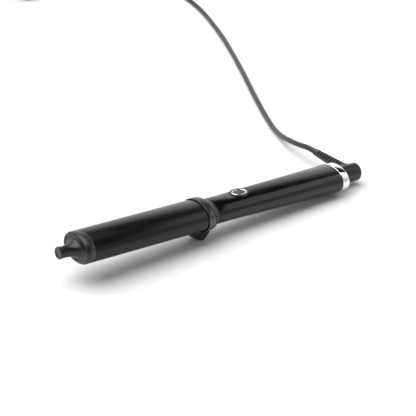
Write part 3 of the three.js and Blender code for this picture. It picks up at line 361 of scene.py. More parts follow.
# %% The tail from the coil to the plug
TAIL_REACH = 0.0626
PLUG_THICKNESS = 0.015
TAIL_POINTS = 16
tail_y = coil_centre.y + outer_row
coil_top = coil_bottom + COIL_LAYERS * pitch
tail_line = []
for i in range(TAIL_POINTS + 1):
    along = i / TAIL_POINTS
    fallen = smooth_step(along, 0, 1)
    height = (coil_top - CORD_RADIUS) * (1 - fallen) + PLUG_THICKNESS / 2 * fallen
    tail_line.append(Vector((coil_centre.x - COIL_LEAD - TAIL_REACH * along, tail_y, height)))
tail_end = tail_line[-1]
cord_line = free_stretch + coil_line + tail_line

# %% [markdown]
# ## The cord as a tube
# A curve with a round bevel keeps its thickness all along, however it bends. One open line of many
# short steps is enough: the turns follow their circle to a hundredth of a millimetre. It is then
# made into a mesh, with its two ends closed, so it can be measured like every other piece.

# %% Make the cord
CORD_BEVEL_STEPS = 4
CORD_WELD = 0.00001
curve = bpy.data.curves.new("mains_cord", "CURVE")
curve.dimensions = "3D"
curve.bevel_depth = CORD_RADIUS
curve.bevel_resolution = CORD_BEVEL_STEPS
curve.use_fill_caps = True
spline = curve.splines.new("POLY")
spline.points.add(len(cord_line) - 1)
for place, spot in zip(spline.points, cord_line):
    place.co = (*spot, 1)
spline.use_smooth = True
mains_cord = bpy.data.objects.new("mains_cord", curve)
bpy.context.scene.collection.objects.link(mains_cord)
select_only(mains_cord)
bpy.ops.object.convert(target="MESH")
mains_cord = bpy.context.active_object
bpy.ops.object.mode_set(mode="EDIT")
bpy.ops.mesh.select_all(action="SELECT")
bpy.ops.mesh.remove_doubles(threshold=CORD_WELD)
bpy.ops.mesh.normals_make_consistent(inside=False)
bpy.ops.object.mode_set(mode="OBJECT")
bpy.ops.object.shade_smooth_by_angle(angle=math.radians(50))
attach(mains_cord, "cord_swivel")
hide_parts("cord", "cord_coil", "cord_tail")
print("cord has", len(cord_line), "points and", len(mains_cord.data.polygons), "faces")

# %% [markdown]
# ## The strap around the coil
# A narrow strip of woven tape, wrapped once around the coil's section. It is a rectangle with rounded
# corners in the section's plane, extruded to the tape's width and given its thickness afterwards.

# %% Wrap the strap
TIE_TURN = math.radians(200)
TIE_WIDTH = 0.012
TIE_CORNER = 0.0018
TIE_EDGE = 0.00018
coil_inner = outer_row - (COIL_ROWS - 1) * pitch - CORD_RADIUS
coil_outer = outer_row + CORD_RADIUS
strap_inside = math.sqrt(coil_inner**2 - (TIE_WIDTH / 2) ** 2) - CLEARANCE
strap_low = Vector((strap_inside, TIE_THICKNESS))
strap_high = Vector((coil_outer + CLEARANCE, coil_top + CLEARANCE))
strap_size = strap_high - strap_low
strap_middle = (strap_high + strap_low) / 2
bpy.ops.object.select_all(action="DESELECT")
bpy.ops.mesh.primitive_plane_add(size=1, rotation=(math.pi / 2, 0, 0))
strap = bpy.context.active_object
strap.name = "coil_strap"
strap.scale = (strap_size.x, strap_size.y, 1)
fix_place(strap)
bpy.ops.object.mode_set(mode="EDIT")
bpy.ops.mesh.select_mode(type="VERT")
bpy.ops.mesh.select_all(action="SELECT")
bpy.ops.mesh.bevel(offset=TIE_CORNER, segments=5, affect="VERTICES")
bpy.ops.mesh.delete(type="ONLY_FACE")
bpy.ops.mesh.select_all(action="SELECT")
bpy.ops.transform.translate(value=(strap_middle.x, -TIE_WIDTH / 2, strap_middle.y))
bpy.ops.mesh.extrude_region_move(TRANSFORM_OT_translate={"value": (0, TIE_WIDTH, 0)})
bpy.ops.mesh.select_all(action="SELECT")
bpy.ops.mesh.normals_make_consistent(inside=False)
bpy.ops.object.mode_set(mode="OBJECT")
apply_modifier(strap, "SOLIDIFY", thickness=TIE_THICKNESS, offset=1)
soften(strap, TIE_EDGE, segments=2, angle=50)
strap.matrix_world = Matrix.Translation(coil_centre) @ Matrix.Rotation(TIE_TURN, 4, "Z")
fix_place(strap)
finish_piece(strap, "cord_swivel", "component", "coil_tie")

# %% [markdown]
# ## The plug
# A moulded plug is one block of the cord's own plastic: a head that the fingers hold and a tail that
# guards the cord. The head starts as a box with its edges bevelled round. Its rear face is extruded and
# narrowed into the tail, and two shallow hollows on its sides give the fingers a hold.

# %% Mould the plug's head and tail
PLUG_LENGTH = 0.034
PLUG_WIDTH = 0.024
PLUG_TAIL_LENGTH = 0.014
PLUG_TAIL_WIDTH = 0.008
PLUG_ROUND = 0.0035
PLUG_SHOULDER = [(0.6, 0.86, 0.9), (0.4, 0.55, 0.72)]  # share of its length, then width and height kept
plug_neck = tail_end.x - CLEARANCE
plug_back = plug_neck - PLUG_TAIL_LENGTH
plug_face = plug_back - PLUG_LENGTH
bpy.ops.object.select_all(action="DESELECT")
bpy.ops.mesh.primitive_cube_add(size=1)
plug = bpy.context.active_object
plug.name = "mains_plug"
plug.scale = (PLUG_LENGTH, PLUG_WIDTH, PLUG_THICKNESS)
plug.location = (plug_back - PLUG_LENGTH / 2, tail_y, PLUG_THICKNESS / 2)
fix_place(plug)


def pick_faces(piece, chosen):
    """Selects the faces that the test accepts and goes into edit mode."""
    bpy.ops.object.mode_set(mode="EDIT")
    bpy.ops.mesh.select_mode(type="FACE")
    bpy.ops.mesh.select_all(action="DESELECT")
    bpy.ops.object.mode_set(mode="OBJECT")
    for face in piece.data.polygons:
        face.select = chosen(face)
    bpy.ops.object.mode_set(mode="EDIT")


select_only(plug)
pick_faces(plug, lambda face: face.normal.x > 0.9)
shoulder = PLUG_LENGTH / 4
middle = (plug_back, tail_y, PLUG_THICKNESS / 2)
bpy.ops.transform.translate(value=(-shoulder, 0, 0))
for share, wide, high in PLUG_SHOULDER:
    bpy.ops.mesh.extrude_region_move(TRANSFORM_OT_translate={"value": (shoulder * share, 0, 0)})
    bpy.ops.transform.resize(value=(1, wide, high), center_override=middle)
bpy.ops.mesh.extrude_region_move(TRANSFORM_OT_translate={"value": (PLUG_TAIL_LENGTH, 0, 0)})
neck_width = PLUG_WIDTH * math.prod(wide for _, wide, _ in PLUG_SHOULDER)
neck_height = PLUG_THICKNESS * math.prod(high for _, _, high in PLUG_SHOULDER)
tail_narrows = (PLUG_TAIL_WIDTH / neck_width, PLUG_TAIL_WIDTH / neck_height)
bpy.ops.transform.resize(value=(1, *tail_narrows), center_override=middle)
bpy.ops.object.mode_set(mode="OBJECT")
soften(plug, PLUG_ROUND, segments=6, angle=20)

# %% Cut the finger holds and the ribs of the tail
GRIP_RADIUS = 0.020
GRIP_DEPTH = 0.0012
for side in (-1, 1):
    grip = round_loft("grip", [(-PLUG_THICKNESS, GRIP_RADIUS), (PLUG_THICKNESS, GRIP_RADIUS)])
    grip.matrix_world = Matrix.Translation((
        plug_face + PLUG_LENGTH / 2,
        tail_y + side * (PLUG_WIDTH / 2 + GRIP_RADIUS - GRIP_DEPTH),
        PLUG_THICKNESS / 2,
    )) @ Matrix.Rotation(math.pi / 2, 4, "Y")
    fix_place(grip)
    carve(plug, grip)
TAIL_GROOVES = 4
GROOVE_FIRST = 0.003
GROOVE_PITCH = 0.0028
GROOVE_WIDTH = 0.0012
GROOVE_FLOOR = 0.0034  # radius left at its bottom
for i in range(TAIL_GROOVES):
    groove_at = plug_back + GROOVE_FIRST + i * GROOVE_PITCH
    groove_end = groove_at + GROOVE_WIDTH
    groove = round_loft("groove", [
        (groove_at, PLUG_WIDTH), (groove_end, PLUG_WIDTH),
        (groove_end, GROOVE_FLOOR), (groove_at, GROOVE_FLOOR), (groove_at, PLUG_WIDTH),
    ], hollow=True)
    groove.location = (0, tail_y, PLUG_THICKNESS / 2)
    fix_place(groove)
    carve(plug, groove)
finish_piece(plug, "cord_swivel", "cord_sheath", "plug_body")

# %% Punch the two blades
BLADE_LENGTH = 0.016
BLADE_WIDTH = 0.0064
BLADE_THICKNESS = 0.0015
BLADE_SPACING = 0.0127
BLADE_HOLE_RADIUS = 0.0016
BLADE_HOLE_FROM_END = 0.0045
BLADE_EDGE = 0.0003
blades = []
for name, side in [("plug_blade_left", -1), ("plug_blade_right", 1)]:
    bpy.ops.object.select_all(action="DESELECT")
    bpy.ops.mesh.primitive_cube_add(size=1)
    blade = bpy.context.active_object
    blade.name = name + "_pressed"
    blade.scale = (BLADE_LENGTH, BLADE_THICKNESS, BLADE_WIDTH)
    blade_middle = Vector((
        plug_face - CLEARANCE - BLADE_LENGTH / 2,
        tail_y + side * BLADE_SPACING / 2,
        PLUG_THICKNESS / 2,
    ))
    blade.location = blade_middle
    fix_place(blade)
    punch = round_loft("punch", [(x, BLADE_HOLE_RADIUS) for x in (-BLADE_WIDTH, BLADE_WIDTH)])
    punch.matrix_world = Matrix.Translation(
        blade_middle - Vector((BLADE_LENGTH / 2 - BLADE_HOLE_FROM_END, 0, 0))
    ) @ Matrix.Rotation(math.pi / 2, 4, "Z")
    fix_place(punch)
    carve(blade, punch)
    soften(blade, BLADE_EDGE, segments=2)
    blades.append(finish_piece(blade, "cord_swivel", "brass", name))

# %% [markdown]
# ## The cool tip
# The tip stays cool enough to hold: a small lipped cap, a nose that flares like a trumpet from a round
# neck to an oval base, and a rounded rim. All three are lofts. The nose's flare is a quarter of an
# ellipse, so it meets the neck and the base without a corner.

# %% Turn the end cap
BARREL_A = 0.019  # half width of the barrel
BARREL_B = 0.013  # half height
RIM_ROUND = 0.0026
NOSE_FRONT = -0.0164
CAP_REAR = NOSE_FRONT - CLEARANCE
CAP_THICKNESS = 0.0028
CAP_RADIUS = 0.0053
CAP_DISH = 0.0003
CAP_EDGE = 0.0007
CAP_PEG_RADIUS = 0.0026  # the peg that holds the cap in the nose
CAP_PEG_LENGTH = 0.0018
cap_front = CAP_REAR - CAP_THICKNESS
cap_stations = [
    (cap_front + CAP_DISH, CAP_RADIUS * 0.55),
    (cap_front + CAP_DISH * 0.7, CAP_RADIUS * 0.68),
    (cap_front, CAP_RADIUS * 0.76),
    (cap_front, CAP_RADIUS - CAP_EDGE),
]
cap_stations += front_round(cap_front, CAP_RADIUS, CAP_EDGE, quarter_turn(5)[1:])
cap_stations += rear_round(CAP_REAR, CAP_RADIUS, CAP_EDGE, quarter_turn(5))
cap_stations += [(CAP_REAR, CAP_PEG_RADIUS), (CAP_REAR + CAP_PEG_LENGTH, CAP_PEG_RADIUS)]
tip_disc = round_loft("tip_disc", cap_stations)
seat(tip_disc)
finish_piece(tip_disc, "wand", "black_satin", "tip_cap")

# %% Flare the nose
NOSE_NECK = 0.0050
NOSE_NECK_SHARE = 0.08  # share of the nose's length that stays straight
NOSE_CHAMFER = 0.0003
NOSE_BASE_THICKNESS = 0.0009
NOSE_BASE_FRONT = -RIM_ROUND + CLEARANCE
NOSE_BASE_REAR = NOSE_BASE_FRONT + NOSE_BASE_THICKNESS
NOSE_A = 0.0150
NOSE_B = 0.0090
LEDGE_A = 0.0123
LEDGE_B = 0.0063
SPIGOT_REAR = 0.0029
nose_stations = [(NOSE_FRONT, NOSE_NECK - NOSE_CHAMFER, NOSE_NECK - NOSE_CHAMFER)]
nose_stations.append((NOSE_FRONT + NOSE_CHAMFER, NOSE_NECK, NOSE_NECK))
nose_length = NOSE_BASE_FRONT - NOSE_FRONT
for swing in quarter_turn(28):
    along = NOSE_NECK_SHARE + (1 - NOSE_NECK_SHARE) * math.sin(swing)
    grown = 1 - math.cos(swing)
    nose_stations.append((
        NOSE_FRONT + nose_length * along,
        NOSE_NECK + (NOSE_A - NOSE_NECK) * grown,
        NOSE_NECK + (NOSE_B - NOSE_NECK) * grown,
    ))
nose_stations += [
    (NOSE_BASE_REAR, NOSE_A, NOSE_B),
    (NOSE_BASE_REAR, LEDGE_A - CLEARANCE, LEDGE_B - CLEARANCE),
    (SPIGOT_REAR, LEDGE_A - CLEARANCE, LEDGE_B - CLEARANCE),
]
nose = loft("tip_flare", nose_stations)
seat(nose)
finish_piece(nose, "wand", "black_satin", "tip_nose")

# %% Round the rim
RIM_INNER_A = 0.0153
RIM_INNER_B = 0.0093
RIM_SOFTENED = 0.00015
rim_stations = [(-RIM_ROUND, RIM_INNER_A, RIM_INNER_B)]
for swing in quarter_turn(12):
    shy = RIM_ROUND * (1 - math.sin(swing))
    rim_stations.append((-RIM_ROUND * math.cos(swing), BARREL_A - shy, BARREL_B - shy))
ledge_front = NOSE_BASE_REAR + CLEARANCE
rim_stations += [
    (0, LEDGE_A, LEDGE_B),
    (ledge_front, LEDGE_A, LEDGE_B),
    (ledge_front, RIM_INNER_A, RIM_INNER_B),
    (-RIM_ROUND, RIM_INNER_A, RIM_INNER_B),
]
rim = loft("tip_bullnose", rim_stations, hollow=True)
soften(rim, RIM_SOFTENED, segments=2, angle=60)
seat(rim)
finish_piece(rim, "wand", "black_satin", "tip_rim")

# %% [markdown]
# ## The band, the barrel and the collar
# These are sleeves: an outside, a bore and two narrow ends. What makes them read as metal is how
# their edges catch the light, so each edge gets a bevel of a few tenths of a millimetre.


# %% A helper for sleeves
def sleeve(name, outer, wall, edge):
    bore = [(at, wide - wall, high - wall) for at, wide, high in reversed(outer)]
    piece = loft(name, [*outer, *bore, outer[0]], hollow=True)
    soften(piece, edge, segments=4, angle=30)
    return piece


def plain_sleeve(name, front, rear, wide, high, wall, edge):
    return sleeve(name, [(front, wide, high), (rear, wide, high)], wall, edge)


# %% The satin band
BAND_FRONT = CLEARANCE
BAND_LENGTH = 0.0052
BAND_REAR = BAND_FRONT + BAND_LENGTH
BAND_WALL = 0.0015
SLEEVE_EDGE = 0.0003
band = plain_sleeve("satin_band", BAND_FRONT, BAND_REAR, BARREL_A, BARREL_B, BAND_WALL, SLEEVE_EDGE)
seat(band)
finish_piece(band, "wand", "grey_satin", "tip_band")

# %% The barrel
BARREL_FRONT = BAND_REAR + CLEARANCE
BARREL_LENGTH = 0.1184
BARREL_REAR = BARREL_FRONT + BARREL_LENGTH
BARREL_WALL = 0.0012
barrel = plain_sleeve(
    "hot_barrel", BARREL_FRONT, BARREL_REAR, BARREL_A, BARREL_B, BARREL_WALL, SLEEVE_EDGE,
)
seat(barrel)
finish_piece(barrel, "wand", "barrel_coat", "barrel")

# %% The collar over the barrel's end
COLLAR_OVERLAP = 0.0024  # how far it reaches over the barrel
COLLAR_LENGTH = 0.0065
COLLAR_PROUD = 0.001
COLLAR_EDGE = 0.00045
COLLAR_FRONT = BARREL_REAR - COLLAR_OVERLAP
COLLAR_REAR = COLLAR_FRONT + COLLAR_LENGTH
COLLAR_A = BARREL_A + COLLAR_PROUD
COLLAR_B = BARREL_B + COLLAR_PROUD
CARRIER_A = 0.0110
CARRIER_B = 0.0073
recess_rear = BARREL_REAR + CLEARANCE
collar = loft("satin_collar", [
    (COLLAR_FRONT, COLLAR_A, COLLAR_B),
    (COLLAR_REAR, COLLAR_A, COLLAR_B),
    (COLLAR_REAR, CARRIER_A + CLEARANCE, CARRIER_B + CLEARANCE),
    (recess_rear, CARRIER_A + CLEARANCE, CARRIER_B + CLEARANCE),
    (recess_rear, BARREL_A + CLEARANCE, BARREL_B + CLEARANCE),
    (COLLAR_FRONT, BARREL_A + CLEARANCE, BARREL_B + CLEARANCE),
    (COLLAR_FRONT, COLLAR_A, COLLAR_B),
], hollow=True)
soften(collar, COLLAR_EDGE, segments=4)
seat(collar)
finish_piece(collar, "wand", "grey_satin", "barrel_collar")

# %% The flange that falls to the handle's neck
FLANGE_FRONT = COLLAR_REAR + CLEARANCE
FLANGE_LENGTH = 0.0076
FLANGE_REAR = FLANGE_FRONT + FLANGE_LENGTH
FLANGE_EDGE = 0.0012
FLANGE_SHY = 0.0005  # how far it stays inside the collar's outline
FLANGE_SOFTENED = 0.0002
FLANGE_A = COLLAR_A - FLANGE_SHY
FLANGE_B = COLLAR_B - FLANGE_SHY
NECK_A = 0.0156
NECK_B = 0.0108
fall_from = FLANGE_FRONT + FLANGE_EDGE
flange_stations = [(FLANGE_FRONT, FLANGE_A, FLANGE_B)]
for swing in quarter_turn(16):
    flange_stations.append((
        fall_from + (FLANGE_REAR - fall_from) * (1 - math.cos(swing)),
        FLANGE_A - (FLANGE_A - NECK_A) * math.sin(swing),
        FLANGE_B - (FLANGE_B - NECK_B) * math.sin(swing),
    ))
flange_stations += [
    (FLANGE_REAR, CARRIER_A + CLEARANCE, CARRIER_B + CLEARANCE),
    (FLANGE_FRONT, CARRIER_A + CLEARANCE, CARRIER_B + CLEARANCE),
    flange_stations[0],
]
flange = loft("neck_fall", flange_stations, hollow=True)
soften(flange, FLANGE_SOFTENED, segments=3, angle=40)
seat(flange)
finish_piece(flange, "wand", "black_satin", "neck_flange")

# %% [markdown]
# ## The safety stand
# A small fixed foot under the barrel's end keeps the hot barrel off the table. It starts as a box under
# the barrel whose bottom face is drawn in to the narrow foot and turned to lie flat on the table. The
# barrel and collar are then cut away from its top, so that it hugs them.

# %% Draw in the foot
STAND_BEHIND_COLLAR_FRONT = 0.0042
STAND_FOOT_AT = COLLAR_FRONT + STAND_BEHIND_COLLAR_FRONT
STAND_DROP = 0.0226
STAND_FOOT_WIDTH = 0.012
STAND_FOOT_LENGTH = 0.0026
STAND_TOP_WIDTH = 0.022
STAND_FRONT_REACH = 0.0175
STAND_REAR_REACH = 0.0034
STAND_EDGE = 0.0004
stand_front = STAND_FOOT_AT - STAND_FRONT_REACH
stand_rear = STAND_FOOT_AT + STAND_REAR_REACH
stand_top = -BARREL_B / 2
bpy.ops.object.select_all(action="DESELECT")
bpy.ops.mesh.primitive_cube_add(size=1)
stand = bpy.context.active_object
stand.name = "stand_wedge"
stand.scale = (stand_rear - stand_front, STAND_TOP_WIDTH, stand_top + BARREL_B)
stand.location = ((stand_front + stand_rear) / 2, 0, (stand_top - BARREL_B) / 2)
fix_place(stand)
pick_faces(stand, lambda face: face.normal.z < -0.9)
bpy.ops.mesh.extrude_region_move(TRANSFORM_OT_translate={"value": (0, 0, BARREL_B - STAND_DROP)})
foot_place = (STAND_FOOT_AT, 0, -STAND_DROP)
narrows = (STAND_FOOT_LENGTH / (stand_rear - stand_front), STAND_FOOT_WIDTH / STAND_TOP_WIDTH, 1)
bpy.ops.transform.translate(value=(STAND_FOOT_AT - (stand_front + stand_rear) / 2, 0, 0))
bpy.ops.transform.resize(value=narrows, center_override=foot_place)
bpy.ops.object.mode_set(mode="OBJECT")
for vertex in stand.data.vertices:
    if vertex.co.z < -STAND_DROP + WELD:
        vertex.co.z += (vertex.co.x - STAND_FOOT_AT) * math.tan(TILT)
soften(stand, STAND_EDGE, segments=3, angle=15)

# %% Let it hug the barrel and the collar
CUT_MARGIN = 0.01  # how far a cutter runs past the stand
for a, b, front in [
    (BARREL_A, BARREL_B, stand_front - CUT_MARGIN),
    (COLLAR_A, COLLAR_B, COLLAR_FRONT - CLEARANCE),
]:
    hug_a, hug_b = a + CLEARANCE, b + CLEARANCE
    carve(stand, loft("hug", [(front, hug_a, hug_b), (stand_rear + CUT_MARGIN, hug_a, hug_b)]))
seat(stand)
finish_piece(stand, "wand", "black_satin", "safety_stand")

# %% [markdown]
# ## The handle
# Two moulded shells meet in a seam that runs along the handle below its middle. One hollow loft makes
# the whole handle, and two bisect cuts leave a narrow gap between the halves. The bevel along the cut
# is what draws the fine light line next to the dark gap.

# %% Cut the handle into its shells
HANDLE_FRONT = FLANGE_REAR + CLEARANCE
HANDLE_LENGTH = 0.141
HANDLE_STRAIGHT = 0.011  # length of the neck before it starts to widen
HANDLE_REAR = HANDLE_FRONT + HANDLE_LENGTH
HANDLE_CONE = HANDLE_FRONT + HANDLE_STRAIGHT
HANDLE_WALL = 0.002
HANDLE_FRONT_WALL = 0.003
SHELL_EDGE = 0.0006
REAR_A = 0.0182
REAR_B = 0.01245
SEAM_HEIGHT = -0.003


def handle_size(at):
    along = max(0, (at - HANDLE_CONE) / (HANDLE_REAR - HANDLE_CONE))
    return NECK_A + (REAR_A - NECK_A) * along, NECK_B + (REAR_B - NECK_B) * along


def handle_half(name, keep_above):
    inner_front = HANDLE_FRONT + HANDLE_FRONT_WALL
    mouth = (CARRIER_A + CLEARANCE, CARRIER_B + CLEARANCE)
    shell = loft(name, [
        (HANDLE_FRONT, NECK_A, NECK_B),
        (HANDLE_CONE, NECK_A, NECK_B),
        (HANDLE_REAR, REAR_A, REAR_B),
        (HANDLE_REAR, REAR_A - HANDLE_WALL, REAR_B - HANDLE_WALL),
        (HANDLE_CONE, NECK_A - HANDLE_WALL, NECK_B - HANDLE_WALL),
        (inner_front, NECK_A - HANDLE_WALL, NECK_B - HANDLE_WALL),
        (inner_front, *mouth),
        (HANDLE_FRONT, *mouth),
        (HANDLE_FRONT, NECK_A, NECK_B),
    ], hollow=True)
    select_only(shell)
    bpy.ops.object.mode_set(mode="EDIT")
    bpy.ops.mesh.select_all(action="SELECT")
    side = CLEARANCE / 2 if keep_above else -CLEARANCE / 2
    bpy.ops.mesh.bisect(
        plane_co=(0, 0, SEAM_HEIGHT + side), plane_no=(0, 0, 1), use_fill=True,
        clear_inner=keep_above, clear_outer=not keep_above, threshold=WELD,
    )
    bpy.ops.object.mode_set(mode="OBJECT")
    return shell


upper_shell = handle_half("upper_half", True)
lower_shell = handle_half("lower_half", False)
print("shells", len(upper_shell.data.polygons), len(lower_shell.data.polygons))

# %% Open the upper shell for the button and round the edges
BUTTON_FROM_FRONT = 0.0323
BUTTON_AT = HANDLE_FRONT + BUTTON_FROM_FRONT
BUTTON_RING_LENGTH = 0.0155
BUTTON_RING_WIDTH = 0.011
BEZEL_MARGIN = 0.002
handle_top = handle_size(BUTTON_AT)[1]


def oval_column(name, length, width, low, high):
    column = loft(name, [(low, width / 2, length / 2), (high, width / 2, length / 2)])
    upright(column, BUTTON_AT)
    return column


bezel_length = BUTTON_RING_LENGTH + 2 * BEZEL_MARGIN
bezel_width = BUTTON_RING_WIDTH + 2 * BEZEL_MARGIN
carve(upper_shell, oval_column(
    "opening", bezel_length + 2 * CLEARANCE, bezel_width + 2 * CLEARANCE, 0, 2 * handle_top,
))
for shell, node in [(upper_shell, "handle_upper_shell"), (lower_shell, "handle_lower_shell")]:
    soften(shell, SHELL_EDGE, segments=4, angle=40)
    seat(shell)
    finish_piece(shell, "wand", "black_gloss", node)

# %% [markdown]
# ## The power button
# A black bezel rises a little out of the shell and carries a chrome ring, and the cap moves inside it.
# The bezel is an upright oval column with a flat top, so it stands a little proud of the handle's round
# back on both sides. The ring's top is a half round, the cap's a shallow dome.

# %% The bezel
BUTTON_PROUD = 0.0005
RING_BAND = 0.0013
RING_HEIGHT = 0.0016
BEZEL_BELOW_WALL = 0.0006
BEZEL_EDGE = 0.00025
BEZEL_CUT_MARGIN = 0.001
ring_top = handle_top + BUTTON_PROUD
ring_bottom = ring_top - RING_HEIGHT
bezel_top = handle_top + BUTTON_PROUD / 2
bezel_base = handle_top - HANDLE_WALL - BEZEL_BELOW_WALL
hole_length = BUTTON_RING_LENGTH - 2 * RING_BAND
hole_width = BUTTON_RING_WIDTH - 2 * RING_BAND
bezel = oval_column("bezel_lip", bezel_length, bezel_width, bezel_base, bezel_top)
cut_top = bezel_top + BEZEL_CUT_MARGIN
carve(bezel, oval_column(
    "seat", BUTTON_RING_LENGTH + 2 * CLEARANCE, BUTTON_RING_WIDTH + 2 * CLEARANCE,
    ring_bottom - CLEARANCE, cut_top,
))
carve(bezel, oval_column("well", hole_length, hole_width, bezel_base - BEZEL_CUT_MARGIN, cut_top))
soften(bezel, BEZEL_EDGE, segments=3, angle=40)
seat(bezel)
finish_piece(bezel, "wand", "black_satin", "button_bezel")

# %% The chrome ring
ring_stations = [(ring_bottom, BUTTON_RING_WIDTH / 2, BUTTON_RING_LENGTH / 2)]
half_band = RING_BAND / 2
RING_STEPS = 12
for i in range(RING_STEPS + 1):
    turn = i / RING_STEPS * math.pi
    inward = half_band * (1 - math.cos(turn))
    height = ring_top - half_band + half_band * math.sin(turn)
    ring_stations.append((height, BUTTON_RING_WIDTH / 2 - inward, BUTTON_RING_LENGTH / 2 - inward))
ring_stations += [(ring_bottom, hole_width / 2, hole_length / 2), ring_stations[0]]
button_trim = loft("button_trim", ring_stations, hollow=True)
upright(button_trim, BUTTON_AT)
seat(button_trim)
finish_piece(button_trim, "wand", "chrome_trim", "button_ring")

# %% The button's cap
CAP_HEIGHT = 0.0022
CAP_DOME = 0.0004
CAP_DOME_REACH = 0.9  # share of the cap's half width that the dome takes up
cap_top = ring_top - CLEARANCE
cap_wide = hole_width / 2 - CLEARANCE
cap_long = hole_length / 2 - CLEARANCE
dome = [(cap_top - CAP_HEIGHT, cap_wide, cap_long), (cap_top - CAP_DOME, cap_wide, cap_long)]
for swing in quarter_turn(8)[1:]:
    inward = CAP_DOME_REACH * cap_wide * (1 - math.cos(swing))
    dome.append((cap_top - CAP_DOME * (1 - math.sin(swing)), cap_wide - inward, cap_long - inward))
button = loft("button_dome", dome)
upright(button, BUTTON_AT)
seat(button)
finish_piece(button, "power_button", "black_gloss", "button_cap")

# %% [markdown]
# ## The rear ring and the swivel
# A polished ring closes the handle. Behind it the swivel knob turns freely, so that the cord never
# twists, and a boss on its side holds the strain relief. Knob and boss are two lofts joined into one.

# %% The polished rear ring
RING_FRONT = HANDLE_REAR + CLEARANCE
RING_LENGTH = 0.0077
RING_REAR = RING_FRONT + RING_LENGTH
RING_WALL = 0.0012
RING_EDGE = 0.0004
rear_ring = plain_sleeve("polished_ring", RING_FRONT, RING_REAR, REAR_A, REAR_B, RING_WALL, RING_EDGE)
seat(rear_ring)
finish_piece(rear_ring, "wand", "chrome_trim", "rear_ring")

# %% The swivel knob and its boss
KNOB_RADIUS = 0.0086
KNOB_ROUND = 0.0028
STEM_RADIUS = 0.0042
STEM_LENGTH = 0.030
BOSS_RADIUS = 0.0056
BOSS_REACH = 0.010
BOSS_START = 0.001  # inside the knob, so that the two join
SMALL_ROUND = 0.0006
knob_stations = [(KNOB_FRONT - STEM_LENGTH, STEM_RADIUS), (KNOB_FRONT, STEM_RADIUS)]
knob_stations += front_round(KNOB_FRONT, KNOB_RADIUS, SMALL_ROUND, quarter_turn(5))
knob_stations += rear_round(KNOB_REAR, KNOB_RADIUS, KNOB_ROUND, quarter_turn(12))
knob = round_loft("swivel_barrel", knob_stations)


def along_relief(piece):
    """Turns a level loft to run out of the knob's side, rising like the relief."""
    turn = Matrix.Rotation(RELIEF_RISE, 4, "X") @ Matrix.Rotation(math.pi / 2, 4, "Z")
    piece.matrix_world = Matrix.Translation((RELIEF_AT, 0, 0)) @ turn
    fix_place(piece)


boss_stations = [(BOSS_START, BOSS_RADIUS), (BOSS_REACH - SMALL_ROUND, BOSS_RADIUS)]
boss_stations += rear_round(BOSS_REACH, BOSS_RADIUS, SMALL_ROUND, quarter_turn(5)[1:])
boss = round_loft("boss", boss_stations)
along_relief(boss)
carve(knob, boss, "UNION")
seat(knob)
finish_piece(knob, "cord_swivel", "black_satin", "swivel_knob")

# %% [markdown]
# ## The strain relief
# A tapered sleeve of the cord's own plastic, with slots above and below so that it bends evenly. It is
# lofted with a ring at both edges of each slot. The faces between them that look up or down are then
# extruded inwards, and the sides stay as the two webs that hold the ribs together.

# %% Loft the taper and press in the slots
RELIEF_ROOT = 0.0049
RELIEF_TIP = 0.0033
RELIEF_RIBS = 9
RIB_PITCH = 0.0036
RIB_FIRST = 0.003
SLOT_DEPTH = 0.0016
RELIEF_PLUG_START = 0.0038  # the thin end inside the knob, from the wand's axis
RELIEF_PLUG_RADIUS = 0.0034
RELIEF_CHAMFER = 0.0003
RELIEF_END_ROUND = 0.0008
RELIEF_EDGE = 0.00022
WEB_SLOPE = 0.42  # faces whose normal rises or falls more than this are pressed in
END_SLOPE = 0.5  # faces whose normal runs along the relief more than this are left
slot_width = RIB_PITCH / 2


def relief_radius(along):
    return RELIEF_ROOT + (RELIEF_TIP - RELIEF_ROOT) * (along - RELIEF_BASE) / RELIEF_LENGTH


slots = [(RELIEF_BASE + RIB_FIRST + i * RIB_PITCH) for i in range(RELIEF_RIBS)]
relief_stations = [
    (RELIEF_PLUG_START, RELIEF_PLUG_RADIUS), (RELIEF_BASE, RELIEF_PLUG_RADIUS),
    (RELIEF_BASE, RELIEF_ROOT - RELIEF_CHAMFER),
    (RELIEF_BASE + RELIEF_CHAMFER, relief_radius(RELIEF_BASE + RELIEF_CHAMFER)),
]
for slot in slots:
    relief_stations.append((slot, relief_radius(slot)))
    relief_stations.append((slot + slot_width, relief_radius(slot + slot_width)))
relief_stations += rear_round(RELIEF_END, RELIEF_TIP, RELIEF_END_ROUND, quarter_turn(6))
relief = round_loft("relief_sleeve", relief_stations)


def in_a_slot(face):
    inside = any(slot < face.center.x < slot + slot_width for slot in slots)
    return inside and abs(face.normal.z) > WEB_SLOPE and abs(face.normal.x) < END_SLOPE


select_only(relief)
pick_faces(relief, in_a_slot)
bpy.ops.mesh.extrude_region_shrink_fatten(TRANSFORM_OT_shrink_fatten={"value": -SLOT_DEPTH})
bpy.ops.object.mode_set(mode="OBJECT")
soften(relief, RELIEF_EDGE, segments=2, angle=40)
along_relief(relief)
seat(relief)
finish_piece(relief, "cord_swivel", "cord_sheath", "strain_relief")

# %% [markdown]
# ## Materials
# A moulded surface is never one flat colour: its gloss changes with handling, its skin carries a fine
# grain, and dust settles on it. `grained` mixes these from noise on Object coordinates: a slow noise for
# colour, a middle one for roughness and a fine one for the bump.


